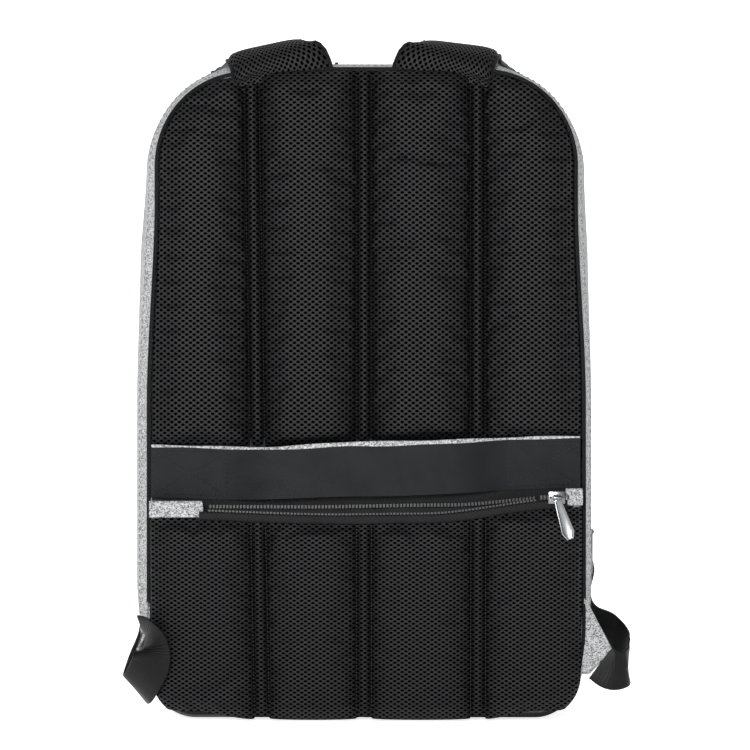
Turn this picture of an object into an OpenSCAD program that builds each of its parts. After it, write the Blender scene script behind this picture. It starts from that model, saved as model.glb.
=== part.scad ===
// Solar backpack, standing on its base. X is across the back, -Y is the wearer's side,
// +Y is the side with the solar panel, and Z is up. The origin is the middle of the base.
// Both shoulder straps are thrown over the top, so that they hang down the front.

/* [Body] */
// Width across the side walls
body_w = 322; // [310:1:334]
// Height of the bag without its straps
body_h = 470; // [460:1:480]
// Depth of the side walls
body_d = 120; // [116:1:130]
// Thickness of the side wall, foam and fabric together
wall = 3; // [2:0.5:4]
// Radius of the two top corners
top_corner = 72; // [60:1:80]
// Radius of the two bottom corners
low_corner = 34; // [28:1:38]
// Height of the reinforced base
base_h = 26; // [20:1:30]

/* [Back padding] */
// Width of the mesh back panel
pad_w = 309; // [300:1:310]
// Height of the top edge of the mesh back panel
pad_top = 466; // [460:1:466]
// Width of one padded channel
channel_w = 69; // [60:1:69]
// Distance from one channel to the next
channel_pitch = 79.5; // [79:0.1:79.6]
// How far an upper channel stands out of the panel
crown = 11; // [8:0.5:13]
// How far a lower channel stands out of the pocket
low_crown = 9; // [7:0.5:9.5]
// Thickness of the spacer mesh
mesh_t = 2; // [1.5:0.5:3]

/* [Back pocket] */
// Height of the pocket's zip
zip_z = 152; // [146:1:156]
// Depth of the pocket at its mouth
mouth_gap = 14; // [10:1:16]
// Height of the luggage band
band_h = 36; // [30:1:38]

/* [Solar flap] */
// Width of the flap
flap_w = 168; // [150:1:172]
// Height of the flap's hinge line
flap_top = 376; // [360:1:380]
// Height of the flap's lower edge
flap_low = 92; // [88:1:100]
// Cells across and up
cells = [2, 6]; // [1:1:8]

/* [Straps] */
// Width of a shoulder strap where it leaves the back
strap_w = 70; // [64:1:72]
// Width of a shoulder strap at its lower end
strap_low_w = 54; // [46:1:58]
// Thickness of a shoulder strap
strap_t = 9; // [8:0.5:10]
// Width of the adjusting webbing
webbing_w = 28; // [25:1:30]
// Thickness of the adjusting webbing
webbing_t = 1.6; // [1.4:0.1:2]

/* [Hidden] */
$fn = 72;

grey = "#a9abad";
black = "#1c1d1f";
metal = "#c4c6c8";

half_d = body_d / 2;
gap = 0.3;                       // clearance between pieces that only lie against each other
board_t = 2;
zip_y = 20;                      // middle of the main zip, towards the front
zip_tape_w = 12;
main_zip_low = 118;              // the main zip ends at this height
sheet_t = 3;                     // flat fabric behind the channels
pad_inset = (body_w - pad_w) / 2;
pad_y = -half_d;                 // plane that the back panel is sewn to
channel_x = [for (i = [-1.5:1.5]) i * channel_pitch];
band_low = zip_z + 8;
band_high = band_low + band_h;
upper_pad_low = band_high + 3;
pocket_low = 6.6;
tilt = atan((mouth_gap - 1) / (zip_z - pocket_low));
rim_y = pad_y - 1 - mouth_gap - 1;   // outer face of the pouch at the mouth
front_y = half_d + sheet_t + 1;      // outer face of the front panel
tray_y = front_y + 22;               // rim of the front pocket
flap_t = 3;
flap_y = tray_y + 0.8;               // back face of the flap
flap_axis_y = flap_y + flap_t / 2;
laminate_t = 1.2;

// ---- shared shapes ----

// Outline of the bag in the XZ plane, standing on z = 0
module outline(w, h, r_top, r_low) {
    for (side = [-1, 1]) {
        translate([side * (w / 2 - r_low), r_low]) circle(r_low);
        translate([side * (w / 2 - r_top), h - r_top]) circle(r_top);
    }
    translate([-w / 2 + r_low, 0]) square([w - 2 * r_low, h / 2]);
    translate([-w / 2, r_low]) square([w, h - r_low - r_top]);
    translate([-w / 2 + r_top, h / 2]) square([w - 2 * r_top, h / 2]);
}

// A flat slab of that outline from y0 to y1, drawn in by inset
module slab(y0, y1, inset = 0, w = body_w, h = body_h) {
    translate([0, y1, inset])
        rotate([90, 0, 0])
            linear_extrude(y1 - y0)
                outline(w - 2 * inset, h - 2 * inset, top_corner - inset, low_corner - inset);
}

// The side wall as a closed ring
module ring(y0, y1, outer = 0, inner = wall) {
    difference() {
        slab(y0, y1, outer);
        slab(y0 - 1, y1 + 1, inner);
    }
}

// Everything between two heights
module between(z0, z1) {
    translate([-300, -300, z0]) cube([600, 600, z1 - z0]);
}

module box(x0, x1, y0, y1, z0, z1) {
    translate([x0, y0, z0]) cube([x1 - x0, y1 - y0, z1 - z0]);
}

// One padded channel: a slice of a standing cylinder that crowns towards -Y from y = 0
module channel(w, rise, z0, z1) {
    r = (w * w / 4 + rise * rise) / (2 * rise);
    intersection() {
        translate([0, r - rise, z0 - 5]) cylinder(r = r, h = z1 - z0 + 10, $fn = 180);
        translate([-w / 2 - 5, -rise - 1, z0]) cube([w + 10, rise + 1, z1 - z0]);
    }
}

// All four channels
module channels(rise, z0, z1) {
    for (x = channel_x) translate([x, 0, 0]) channel(channel_w, rise, z0, z1);
}

// ---- sweeping a flat band along a route ----

function unit(v) = v / norm(v);
function mix(a, b, c, d, t) =
    0.5 * (2 * b + (c - a) * t + (2 * a - 5 * b + 4 * c - d) * t * t
           + (3 * b - a - 3 * c + d) * t * t * t);
function at(list, i) = list[max(0, min(len(list) - 1, i))];
// Points between the hand-set stations, n to each stretch
function smooth(list, n) = concat(
    [for (i = [0:len(list) - 2], k = [0:n - 1])
        mix(at(list, i - 1), at(list, i), at(list, i + 1), at(list, i + 2), k / n)],
    [list[len(list) - 1]]);
function direction(p, i) = unit(at(p, i + 1) - at(p, i - 1));
// Width direction at a station, square to the route
function across(v, t) = unit(v - (v * t) * t);
// A ring of four corners: half the width each way, and from n0 to n1 through the thickness
function band_ring(c, w, n, half, n0, n1) =
    [c + half * w + n1 * n, c - half * w + n1 * n, c - half * w + n0 * n, c + half * w + n0 * n];

// points, aims and widths have one entry per station: where the band is, where its width
// points, and how wide it is there
module band(points, aims, widths, n0, n1) {
    last = len(points) - 1;
    corners = [for (i = [0:last])
        let (t = direction(points, i), w = across(aims[i], t), n = cross(t, w))
        for (corner = band_ring(points[i], w, n, widths[i] / 2, n0, n1)) corner];
    sides = [for (i = [0:last - 1], k = [0:3])
        let (a = 4 * i + k, b = 4 * i + (k + 1) % 4)
        for (face = k == 2 ? [[a, a + 4, b], [a + 4, b + 4, b]] : [[a, a + 4, b + 4], [a, b + 4, b]])
            face];
    caps = [[0, 1, 2], [0, 2, 3], [4 * last + 2, 4 * last + 1, 4 * last],
            [4 * last + 3, 4 * last + 2, 4 * last]];
    polyhedron(points = corners, faces = concat(sides, caps));
}

// ---- routes, drawn for the right-hand side ----

// Middle of a shoulder strap: up from the back, over the top and down the front
front_strap_y = front_y + strap_t / 2 + 2;
strap_route = [
    [57.5, -57, 472.3], [58, -57, 476], [60.5, -53.5, 480.3], [63, -46, 481.5], [66, -34, 481.5],
    [68, -20, 481.3], [74, 15, 481], [80, 48, 480.5], [83, 65, 478.5], [85, 73.5, 468],
    [89, front_strap_y + 0.6, 450], [100, front_strap_y, 420], [114, front_strap_y, 388], [120, front_strap_y, 350],
    [122, front_strap_y, 300], [123, front_strap_y, 200]];
strap_aim = [
    [1, 0, 0], [1, 0, -0.05], [1, 0, -0.1], [1, 0, -0.1], [1, 0, -0.1], [1, 0, -0.1],
    [1, 0, -0.1], [1, -0.02, -0.1], [1, -0.05, -0.1], [1, 0, -0.15], [1, 0, 0.3],
    [1, 0, 0.5], [1, 0, 0.4], [1, 0, 0.15], [1, 0, 0], [1, 0, 0]];
strap_taper = [1, 0.6, 0.35, 0.3, 0.28, 0.25, 0.2, 0.2, 0.2, 0.2, 0.2, 0.15, 0.1, 0.05, 0, 0];
strap_widths = [for (share = strap_taper) strap_low_w + share * (strap_w - strap_low_w)];

// Loose tail of the adjusting webbing, in front of the buckle
tail_y = front_y + 10.6;
tail_route = [[123, tail_y, 177], [123, tail_y, 150], [124, tail_y - 0.5, 120], [125, tail_y - 2, 92]];
tail_aim = [[1, 0, 0], [1, 0, 0], [1, 0, 0.03], [1, -0.1, 0.05]];

// Webbing between the buckle and the tab in the side seam. The first stations are the same on
// both sides; then the right one stands out from the side, and the left one loops forwards.
low_start = [[123, front_y + 3.5, 156], [124.5, front_y + 3.8, 147], [142, front_y + 5.5, 124],
             [158, front_y + 6, 106]];
low_start_aim = [[1, 0, 0], [1, 0, 0.25], [0.8, 0, 0.65], [0.5, 0, 0.9]];
right_route = concat(low_start, [
    [172, 55, 92], [179, 25, 76], [183, -10, 62], [187, -38, 51], [188, -52, 42],
    [182, -60.8, 38], [172, -61.8, 42]]);
right_aim = concat(low_start_aim, [
    [0.2, 0, 1], [0, 0.1, 1], [0, 0.2, 1], [0, 0.1, 1], [0, 0, 1], [-0.1, 0, 1], [-0.3, 0, 1]]);
left_route = concat(low_start, [
    [168, 56, 90], [169, 25, 68], [169, -10, 44], [169, -42, 26], [167, -64, 22],
    [161, -77, 30], [155.5, -82, 42], [154.5, -83, 52], [157, -79.5, 62]]);
left_aim = concat(low_start_aim, [
    [0.2, 0, 1], [0, 0, 1], [0, 0, 1], [0.1, 0, 1], [0.5, 0, 0.8],
    [0.8, 0, 0.6], [0.95, 0, 0.35], [1, 0, 0.2], [1, 0, 0.1]]);

module side(sign) {
    if (sign > 0) children();
    else mirror([1, 0, 0]) children();
}

// One layer of a strap, from station first to its lower end
module strap_layer(n0, n1, inset, first = 0) {
    run = [first:len(strap_route) - 1];
    band(smooth([for (i = run) strap_route[i]], 5), smooth([for (i = run) strap_aim[i]], 5),
         smooth([for (i = run) strap_widths[i] - 2 * inset], 5), n0, n1);
}

module webbing_band(route, aim) {
    points = smooth(route, 4);
    band(points, smooth(aim, 4), [for (p = points) webbing_w], -webbing_t / 2, webbing_t / 2);
}

// ---- the body ----

// Clearance under the outer end of each strap's seam, which dips as the strap is lifted
module seam_clearance(z0) {
    for (s = [-1, 1])
        box(s * 86 - 14, s * 86 + 14, pad_y - 3, -half_d + board_t + 1, z0, body_h);
}

module back_board() color("#d8d8d2")
    difference() {
        slab(-half_d, -half_d + board_t, wall + gap);
        seam_clearance(body_h - 6);
    }

module rear_gusset() color(grey)
    intersection() {
        ring(-half_d, zip_y - zip_tape_w / 2);
        between(base_h, body_h + 1);
    }

module front_gusset() color(grey)
    intersection() {
        ring(zip_y + zip_tape_w / 2, half_d);
        between(base_h, body_h + 1);
    }

module base_panel() color(black)
    intersection() {
        ring(-half_d, half_d);
        between(-1, base_h);
    }

module front_panel() color(grey)
    slab(half_d, front_y);

// Fabric that closes the side wall below each end of the main zip
module zip_end_panels() color(grey)
    intersection() {
        ring(zip_y - zip_tape_w / 2, zip_y + zip_tape_w / 2);
        between(base_h, main_zip_low);
    }

module main_zip_tape() color(black)
    intersection() {
        ring(zip_y - zip_tape_w / 2, zip_y + zip_tape_w / 2, 0, 1.2);
        between(main_zip_low, body_h + 1);
    }

module main_zip_coil() color(black)
    intersection() {
        ring(zip_y - 2, zip_y + 2, -1.2, 0);
        between(main_zip_low + 4, body_h + 2);
    }

// Padded pocket against the back board, open at the top
module laptop_sleeve() color("#3a3c40") {
    y0 = -half_d + board_t + gap;
    difference() {
        box(-132, 132, y0, y0 + 22, 14, 300);
        box(-128, 128, y0 - 1, y0 + 18, 18, 301);
    }
}

// Elastic strap that holds the laptop, sewn to the board above the sleeve
module laptop_strap() color(black) {
    y0 = -half_d + board_t + gap;
    box(-18, 18, y0, y0 + 2, 300.5, 350);
    box(-18, 18, y0 + 2, y0 + 26, 300.5, 302.5);
    box(-18, 18, y0 + 22.5, y0 + 24.5, 262, 300.5);
}

// ---- the back panel ----

module back_seam_piping() color(black)
    difference() {
        slab(pad_y - sheet_t, pad_y, 2);
        slab(pad_y - sheet_t - 1, pad_y + 1, pad_inset - 0.4, body_w, pad_top + pad_inset);
        seam_clearance(body_h - 4.6);
    }

// Prism of the back panel's own outline, used to trim what is sewn inside the piping
module pad_trim() {
    slab(pad_y - 40, pad_y, pad_inset, body_w, pad_top + pad_inset);
}

module upper_mesh_pad() color(black)
    difference() {
        intersection() {
            union() {
                box(-pad_w, pad_w, pad_y - sheet_t, pad_y, upper_pad_low, pad_top + 5);
                translate([0, pad_y - sheet_t, 0]) channels(crown, upper_pad_low, pad_top + 5);
            }
            pad_trim();
        }
        upper_filling(mesh_t);
    }

module upper_foam_strips() color("#55585c") upper_filling(mesh_t + gap);

// The space inside the upper channels; the outer two end lower, under the rounded corners
module upper_filling(inset) {
    for (x = channel_x)
        translate([x, pad_y - sheet_t, 0])
            channel(channel_w - 2 * inset, crown - inset, upper_pad_low + inset,
                    (abs(x) > channel_pitch ? pad_top - 54 : pad_top - 8) - inset);
}

module sleeve_backing() color(black)
    box(-pad_w / 2, pad_w / 2, pad_y - 1.5, pad_y, band_low, band_high + 2.5);

// The luggage band bows away from the back between its two sewn ends
module band_profile(thick) {
    y0 = pad_y - 1.5;
    bow = pad_y - 13;
    points = [[-pad_w / 2 + 1, y0], [-102, y0], [-72, bow], [72, bow], [102, y0], [pad_w / 2 - 1, y0]];
    polygon(concat(
        points,
        [for (i = [5:-1:0]) points[i] - [0, thick]]));
}

module luggage_band() color("#26282a")
    translate([0, 0, band_low + 0.5]) linear_extrude(band_h - 4) band_profile(2);

module luggage_band_trim() color(grey)
    translate([0, 0, band_low + band_h - 3.5]) linear_extrude(3.5) band_profile(2.6);

// Wedge in the YZ plane, from the foot of the pocket to its mouth
module wedge(half_w, y_back, y_foot, y_mouth, z0, z1) {
    translate([-half_w, 0, 0])
        rotate([90, 0, 90])
            linear_extrude(2 * half_w)
                polygon([[y_back, z0], [y_foot, z0], [y_mouth, z1], [y_back, z1]]);
}

module pocket_pouch() color("#2c2e31")
    intersection() {
        pad_trim();
        difference() {
            wedge(146, pad_y, pad_y - 3, rim_y, pocket_low, zip_z);
            wedge(145, pad_y - 1, pad_y - 1.8, rim_y + 1, pocket_low + 12, zip_z + 1);
        }
    }

// Puts a pad drawn upright onto the pouch's sloping front
module on_pocket() {
    translate([0, pad_y - 3 - gap, pocket_low]) rotate([tilt, 0, 0]) children();
}

lower_h = zip_z - pocket_low - 4;

module lower_outline(depth) {
    r = low_corner - 6;
    rotate([90, 0, 0])
        linear_extrude(depth) {
            for (s = [-1, 1]) translate([s * (pad_w / 2 - r), r]) circle(r);
            translate([-pad_w / 2 + r, 0]) square([pad_w - 2 * r, r + 1]);
            translate([-pad_w / 2, r]) square([pad_w, lower_h - r]);
        }
}

module lower_mesh_pad() color(black)
    on_pocket() difference() {
        union() {
            lower_outline(sheet_t - 1);
            intersection() {
                translate([0, -sheet_t + 1, 0]) channels(low_crown, -5, lower_h + 5);
                lower_outline(40);
            }
        }
        lower_filling(mesh_t);
    }

module lower_foam_strips() color("#55585c") on_pocket() lower_filling(mesh_t + gap);

// The space inside the lower channels, from just above the rounded corners
module lower_filling(inset) {
    for (x = channel_x)
        translate([x, -sheet_t + 1, 0])
            channel(channel_w - 2 * inset, low_crown - inset, 15 + inset, lower_h - inset);
}

// ---- the pocket's zip ----

module pocket_zip_upper_tape() color(black)
    box(-132, 146, pad_y - 1.5, pad_y, zip_z + 0.5, band_low - gap);

rim_front = rim_y - 4.6;             // front face of the binding on the pocket's rim
zip_line = zip_z + 9;                // height of the closed zip
slider_plane = rim_front - 1.6;      // the slider's underside runs along this plane

// Two rows of coil, on the upper tape and on the pocket's rim, and the bead where they meet
module pocket_zip_coil() color("#111214") {
    box(-112, 120, pad_y - 3, pad_y - 1.5, zip_z + 3, zip_z + 5.5);
    box(-112, 120, rim_front, rim_front + 2, zip_z + 4, zip_z + 6);
    box(124, 146, slider_plane - 1.3, slider_plane, zip_line - 1.2, zip_line + 1.2);
}

// Binding along the rim, rising at the right to the end of the zip
module pocket_rim_binding() color(black) {
    box(-112, 146, rim_front, rim_y - gap, zip_z - 4, zip_z + 4);
    box(124, 146, slider_plane, rim_y - gap, zip_z - 4, zip_line + 4.5);
}

module pocket_zip_end_tabs() color(grey) {
    box(-pad_w / 2 + 1, -113, rim_front + 1, rim_y - gap, zip_z - 4, band_low - gap);
    box(-pad_w / 2 + 1, -113, rim_y - gap, pad_y - 1.8, zip_z + gap, band_low - gap);
    box(146.5, pad_w / 2 - 1, rim_front, pad_y - 4, zip_z + gap, zip_line + 5);
}

// ---- zip sliders: x is the way they travel, z is out of the cloth ----

slider_l = 12;
slider_w = 9;
slider_h = 4;
bail_z = 6.2;                    // height of the bail's bar above the cloth
bail_r = 0.8;
bail_half = 3.4;                 // half the gap between the bail's posts

// length is along x and width along y; the coil's channel runs along x, or along y when turned
module slider(length, width, turned) {
    difference() {
        translate([-length / 2, -width / 2, gap]) cube([length, width, slider_h - gap]);
        rotate([0, 0, turned ? 90 : 0]) translate([-slider_l, -2.5, -1]) cube([2 * slider_l, 5, 2.8]);
    }
    for (s = [-1, 1])
        translate([s * (bail_half + 0.7) - 0.7, -1.5, slider_h - 0.5])
            cube([1.4, 3, bail_z - slider_h + 1.5]);
    translate([-bail_half - 0.5, 0, bail_z]) rotate([0, 90, 0]) cylinder(r = bail_r, h = 2 * bail_half + 1);
}

// The pull hangs towards -y from the bail, leaning by lean degrees
module pull(lean, length = 31) {
    translate([0, 0, bail_z]) {
        difference() {
            union() {
                translate([-2.6, 0, 0]) rotate([0, 90, 0]) cylinder(r = 2.1, h = 5.2);
                rotate([0, 0, lean])
                    translate([0, 0, -0.9])
                        linear_extrude(1.8)
                            polygon([[-2.6, -1], [2.6, -1], [4.6, -length + 5], [2.4, -length],
                                     [-2.4, -length], [-4.6, -length + 5]]);
            }
            translate([-6, 0, 0]) rotate([0, 90, 0]) cylinder(r = bail_r + 0.1, h = 12);
        }
    }
}

module at_pocket_slider() {
    translate([136, slider_plane, zip_line]) rotate([90, 0, 0]) children();
}
module pocket_slider() color(metal) at_pocket_slider() slider(slider_l, slider_w, false);
module pocket_pull() color(metal) at_pocket_slider() pull(18);

module at_main_slider() {
    translate([body_w / 2 + 0.1, zip_y, main_zip_low + 14]) rotate([0, -90, 180]) children();
}
module main_slider() color(metal) at_main_slider() rotate([0, 0, -90]) slider(slider_w, slider_l, true);
module main_pull() color(metal) at_main_slider() rotate([0, 0, -90]) pull(0);

// ---- front pocket and solar flap ----

pocket_half = flap_w / 2 - 4;
tray_low = flap_low + 4;
tray_top = flap_top - 8;

module front_pocket() color(grey)
    difference() {
        box(-pocket_half, pocket_half, front_y, tray_y, tray_low, tray_top);
        box(-pocket_half + 2, pocket_half - 2, front_y + 1.5, tray_y - 2.2, tray_low + 2, tray_top - 2);
        box(-pocket_half + 2, pocket_half - 2, tray_y - 3, tray_y + 1, tray_low + 18, tray_top - 2);
    }

// Hook strip on the pocket's lower lip, and the loop strip that meets it on the flap
module hook_strip() color(black)
    box(-65, 65, tray_y, tray_y + 0.25, tray_low + 3, tray_low + 15);

module loop_strip() color(black)
    box(-65, 65, flap_y - 0.25, flap_y, tray_low + 3, tray_low + 15);

// Fabric that carries the flap's hinge line out from the front panel
module flap_hinge_strip() color(grey)
    translate([-pocket_half, 0, 0])
        rotate([90, 0, 90])
            linear_extrude(2 * pocket_half)
                polygon([[front_y, tray_top + gap], [tray_y, tray_top + gap], [tray_y, flap_top + 2.2],
                         [flap_axis_y - 0.2, flap_top + 2.2], [flap_axis_y - 0.2, flap_top + 4],
                         [front_y, flap_top + 18]]);

module flap_board() color(grey) {
    box(-flap_w / 2, flap_w / 2, flap_y, flap_y + flap_t, flap_low + 3, flap_top);
    translate([-flap_w / 2, flap_axis_y, flap_top]) rotate([0, 90, 0]) cylinder(r = flap_t / 2, h = flap_w);
}

// Binding round the flap's two sides and foot
module flap_binding() color(black)
    difference() {
        box(-flap_w / 2 - 2, flap_w / 2 + 2, flap_y, flap_y + flap_t + 0.8, flap_low, flap_top - 6);
        box(-flap_w / 2, flap_w / 2, flap_y - 1, flap_y + flap_t + 2, flap_low + 3, flap_top);
    }

laminate_w = flap_w - 14;
laminate_low = flap_low + 10;
laminate_top = flap_top - 12;
laminate_y = flap_y + flap_t;

module solar_laminate() color("#16181d")
    box(-laminate_w / 2, laminate_w / 2, laminate_y, laminate_y + laminate_t, laminate_low, laminate_top);

cell_gap = 3;
cell_w = (laminate_w - 10 - (cells[0] - 1) * cell_gap) / cells[0];
cell_h = (laminate_top - laminate_low - 10 - (cells[1] - 1) * cell_gap) / cells[1];
cell_t = 0.3;

function cell_x(i) = -laminate_w / 2 + 5 + i * (cell_w + cell_gap);
function cell_z(j) = laminate_low + 5 + j * (cell_h + cell_gap);

module solar_cells() color("#10162e")
    for (i = [0:cells[0] - 1], j = [0:cells[1] - 1])
        box(cell_x(i), cell_x(i) + cell_w, laminate_y + laminate_t, laminate_y + laminate_t + cell_t,
            cell_z(j), cell_z(j) + cell_h);

// Two flat ribbons up each column of cells
module cell_ribbons() color(metal)
    for (i = [0:cells[0] - 1], share = [0.28, 0.72])
        box(cell_x(i) + share * cell_w - 0.7, cell_x(i) + share * cell_w + 0.7,
            laminate_y + laminate_t + cell_t, laminate_y + laminate_t + cell_t + 0.2,
            cell_z(0) + 1, cell_z(cells[1] - 1) + cell_h - 1);

// ---- charge controller on the back of the flap ----

ctrl_w = 68;
ctrl_low = 122;
ctrl_h = 42;
ctrl_d = 13;
ctrl_y = flap_y - ctrl_d;            // inner face of the controller
usb_x = -16;
screw_x = ctrl_w / 2 - 5;

module screw_places() {
    for (x = [-screw_x, screw_x], z = [ctrl_low + 5, ctrl_low + ctrl_h - 5])
        translate([x, 0, z]) rotate([-90, 0, 0]) children();
}

module usb_hole(grow) {
    box(usb_x - 6.6 - grow, usb_x + 6.6 + grow, ctrl_y + 3.4 - grow, ctrl_y + 9.2 + grow,
        ctrl_low - 1, ctrl_low + 14 + grow);
}

module controller_base() color(black)
    difference() {
        box(-ctrl_w / 2, ctrl_w / 2, ctrl_y + 6, flap_y, ctrl_low, ctrl_low + ctrl_h);
        box(-ctrl_w / 2 + 2, ctrl_w / 2 - 2, ctrl_y + 5, flap_y - 2, ctrl_low + 10, ctrl_low + ctrl_h - 10);
        box(-ctrl_w / 2 + 10, ctrl_w / 2 - 10, ctrl_y + 5, flap_y - 2, ctrl_low + 2, ctrl_low + ctrl_h - 2);
        usb_hole(0.1);
        translate([0, ctrl_y - 1, 0]) screw_places() cylinder(r = 1.1, h = ctrl_d - 1);
    }

module controller_cover() color(black)
    difference() {
        box(-ctrl_w / 2, ctrl_w / 2, ctrl_y, ctrl_y + 6, ctrl_low, ctrl_low + ctrl_h);
        box(-ctrl_w / 2 + 10, ctrl_w / 2 - 10, ctrl_y + 1.6, ctrl_y + 7, ctrl_low + 2, ctrl_low + ctrl_h - 2);
        usb_hole(0.1);
        translate([0, ctrl_y - 1, 0]) screw_places() cylinder(r = 1.4, h = ctrl_d);
        translate([0, ctrl_y - 1, 0]) screw_places() cylinder(r = 2.6, h = 3);
        translate([14, ctrl_y - 1, ctrl_low + ctrl_h / 2]) rotate([-90, 0, 0]) cylinder(r = 2.1, h = 6);
    }

module controller_board() color("#1d5c34")
    box(-ctrl_w / 2 + 11, ctrl_w / 2 - 11, ctrl_y + 9.6, ctrl_y + 11, ctrl_low + 3, ctrl_low + ctrl_h - 3);

// Metal shell of the USB-A socket with its contact tongue
module usb_socket() color(metal) {
    difference() {
        box(usb_x - 6.6, usb_x + 6.6, ctrl_y + 3.4, ctrl_y + 9.2, ctrl_low + 0.2, ctrl_low + 14);
        box(usb_x - 6.2, usb_x + 6.2, ctrl_y + 3.8, ctrl_y + 8.8, ctrl_low - 1, ctrl_low + 13);
    }
    box(usb_x - 5.6, usb_x + 5.6, ctrl_y + 7, ctrl_y + 8.7, ctrl_low + 2, ctrl_low + 13.2);
}

module status_lens() color("#e8f4ff")
    translate([14, ctrl_y - 0.4, ctrl_low + ctrl_h / 2]) rotate([-90, 0, 0]) cylinder(r = 2, h = 3.4);

module controller_screws() color(metal)
    translate([0, ctrl_y, 0]) screw_places() {
        translate([0, 0, 0.4]) cylinder(r = 2.4, h = 1.5);
        cylinder(r = 1, h = ctrl_d - 3);
    }

// ---- carry handle ----

handle_y = 16;
handle_z = body_h + 4.8;             // height of the handle's hinge line
handle_half = 27;
handle_reach = 44;
handle_r = 3.4;

// Sewn patch with two ears that hold the handle's ends
module handle_anchor() color(black) {
    box(-handle_half - 9, handle_half + 9, handle_y - 14.5, zip_y - zip_tape_w / 2 - 9, body_h, body_h + 1.2);
    for (s = [-1, 1])
        translate([s * handle_half, 0, 0]) difference() {
            box(-2 - 5, 2 + 5, handle_y - 14.5, handle_y - 3, body_h + 1.2, body_h + 8);
            box(-2 - 2.6, 2 + 2.6, handle_y - 20, handle_y, body_h + 1.2, body_h + 10);
        }
    for (s = [-1, 1])
        translate([s * handle_half - 5, handle_y - 9, handle_z]) rotate([0, 90, 0]) cylinder(r = 1, h = 10);
}

// U-shaped padded loop that lies forwards on the top and swings up about X
module carry_handle() color(black)
    translate([0, handle_y - 9, handle_z]) {
        for (s = [-1, 1]) translate([s * handle_half, 0, 0]) {
            difference() {
                union() {
                    rotate([0, 90, 0]) translate([0, 0, -2.2]) cylinder(r = 2.6, h = 4.4);
                    translate([-2.2, 0, -2.2]) cube([4.4, handle_reach - 6, 4.4]);
                }
                rotate([0, 90, 0]) translate([0, 0, -5]) cylinder(r = 1.1, h = 10);
            }
        }
        for (s = [-1, 1]) translate([s * (handle_half - 6), handle_reach - 6, 0])
            rotate([0, 0, s > 0 ? 0 : 90]) rotate_extrude(angle = 90) translate([6, 0]) circle(2.2);
        translate([-handle_half + 6, handle_reach, 0]) rotate([0, 90, 0]) cylinder(r = handle_r, h = 2 * handle_half - 12);
    }

// ---- shoulder straps ----

// Patches that back the straps' seams on top of the bag
module strap_anchors() color(black)
    for (s = [-1, 1])
        box(s * 56 - 30, s * 56 + 30, -51.5, -40, body_h, body_h + 1);

half_t = strap_t / 2;
foam_gap = 0.5;                      // keeps the foam's facets clear of the cloth in the bends
foam_first = 4;                      // the foam starts beyond the seam's tight bend
module strap_mesh(sign) color(black) side(sign) strap_layer(-half_t, -half_t + 2.6, 0);
module strap_foam(sign) color("#55585c")
    side(sign) strap_layer(-half_t + 2.6 + foam_gap, half_t - 1.5 - foam_gap, 1.5, foam_first);
module strap_cover(sign) color(grey) side(sign) strap_layer(half_t - 1.5, half_t, 0);

buckle_x = 123;
buckle_z = 176;                      // middle of the ladder lock
buckle_half = [18, 14];
buckle_y = front_y + 3.2;            // its back face
buckle_t = 4.2;
slot_half = webbing_w / 2 + 0.6;

// Ladder lock: a frame with slots for the fixed loop and for the adjusting webbing
module buckle(sign) color(black) side(sign)
    difference() {
        box(buckle_x - buckle_half[0], buckle_x + buckle_half[0], buckle_y, buckle_y + buckle_t,
            buckle_z - buckle_half[1], buckle_z + buckle_half[1]);
        for (slot = [[5, 10.5], [-3.5, 2], [-11, -6.5]])
            box(buckle_x - slot_half, buckle_x + slot_half, buckle_y - 1, buckle_y + buckle_t + 1,
                buckle_z + slot[0], buckle_z + slot[1]);
    }

// Fixed loop round the buckle's top bar, and the loose tail threaded through its middle slot
module webbing_end(sign) color(black) side(sign) {
    half = webbing_w / 2 - 1;
    difference() {
        box(buckle_x - half, buckle_x + half, buckle_y - 1.7, buckle_y + buckle_t + 1.7,
            buckle_z + 6, 199.4);
        box(buckle_x - half - 1, buckle_x + half + 1, buckle_y - gap, buckle_y + buckle_t + gap,
            buckle_z + 7.5, 200);
    }
    box(buckle_x - webbing_w / 2, buckle_x + webbing_w / 2, buckle_y + gap, tail_y,
        buckle_z - 2, buckle_z - 2 + webbing_t);
    webbing_tail();
}

module webbing_tail() {
    points = smooth(tail_route, 2);
    band(points, smooth(tail_aim, 2), [for (p = points) webbing_w], -webbing_t / 2, webbing_t / 2);
}

module left_webbing() color(black) side(-1) webbing_band(left_route, left_aim);
module right_webbing() color(black) side(1) webbing_band(right_route, right_aim);

// Triangular tabs in the side seams; each holds the end of its webbing
module right_tab() color(grey)
    translate([0, -half_d + 3, 0])
        rotate([90, 0, 0])
            linear_extrude(3)
                polygon([[body_w / 2 + 0.1, 90], [body_w / 2 + 16, 52], [body_w / 2 + 14, 42], [body_w / 2 + 0.1, 33]]);

// The left tab is pulled forwards by its webbing, so that it is seen edge on
module left_tab() color(grey)
    translate([-body_w / 2 - 3.1, 0, 0])
        rotate([90, 0, 90])
            linear_extrude(3)
                polygon([[-half_d + 8, 88], [-half_d - 16, 68], [-half_d - 16, 56], [-half_d + 8, 40]]);

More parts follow.
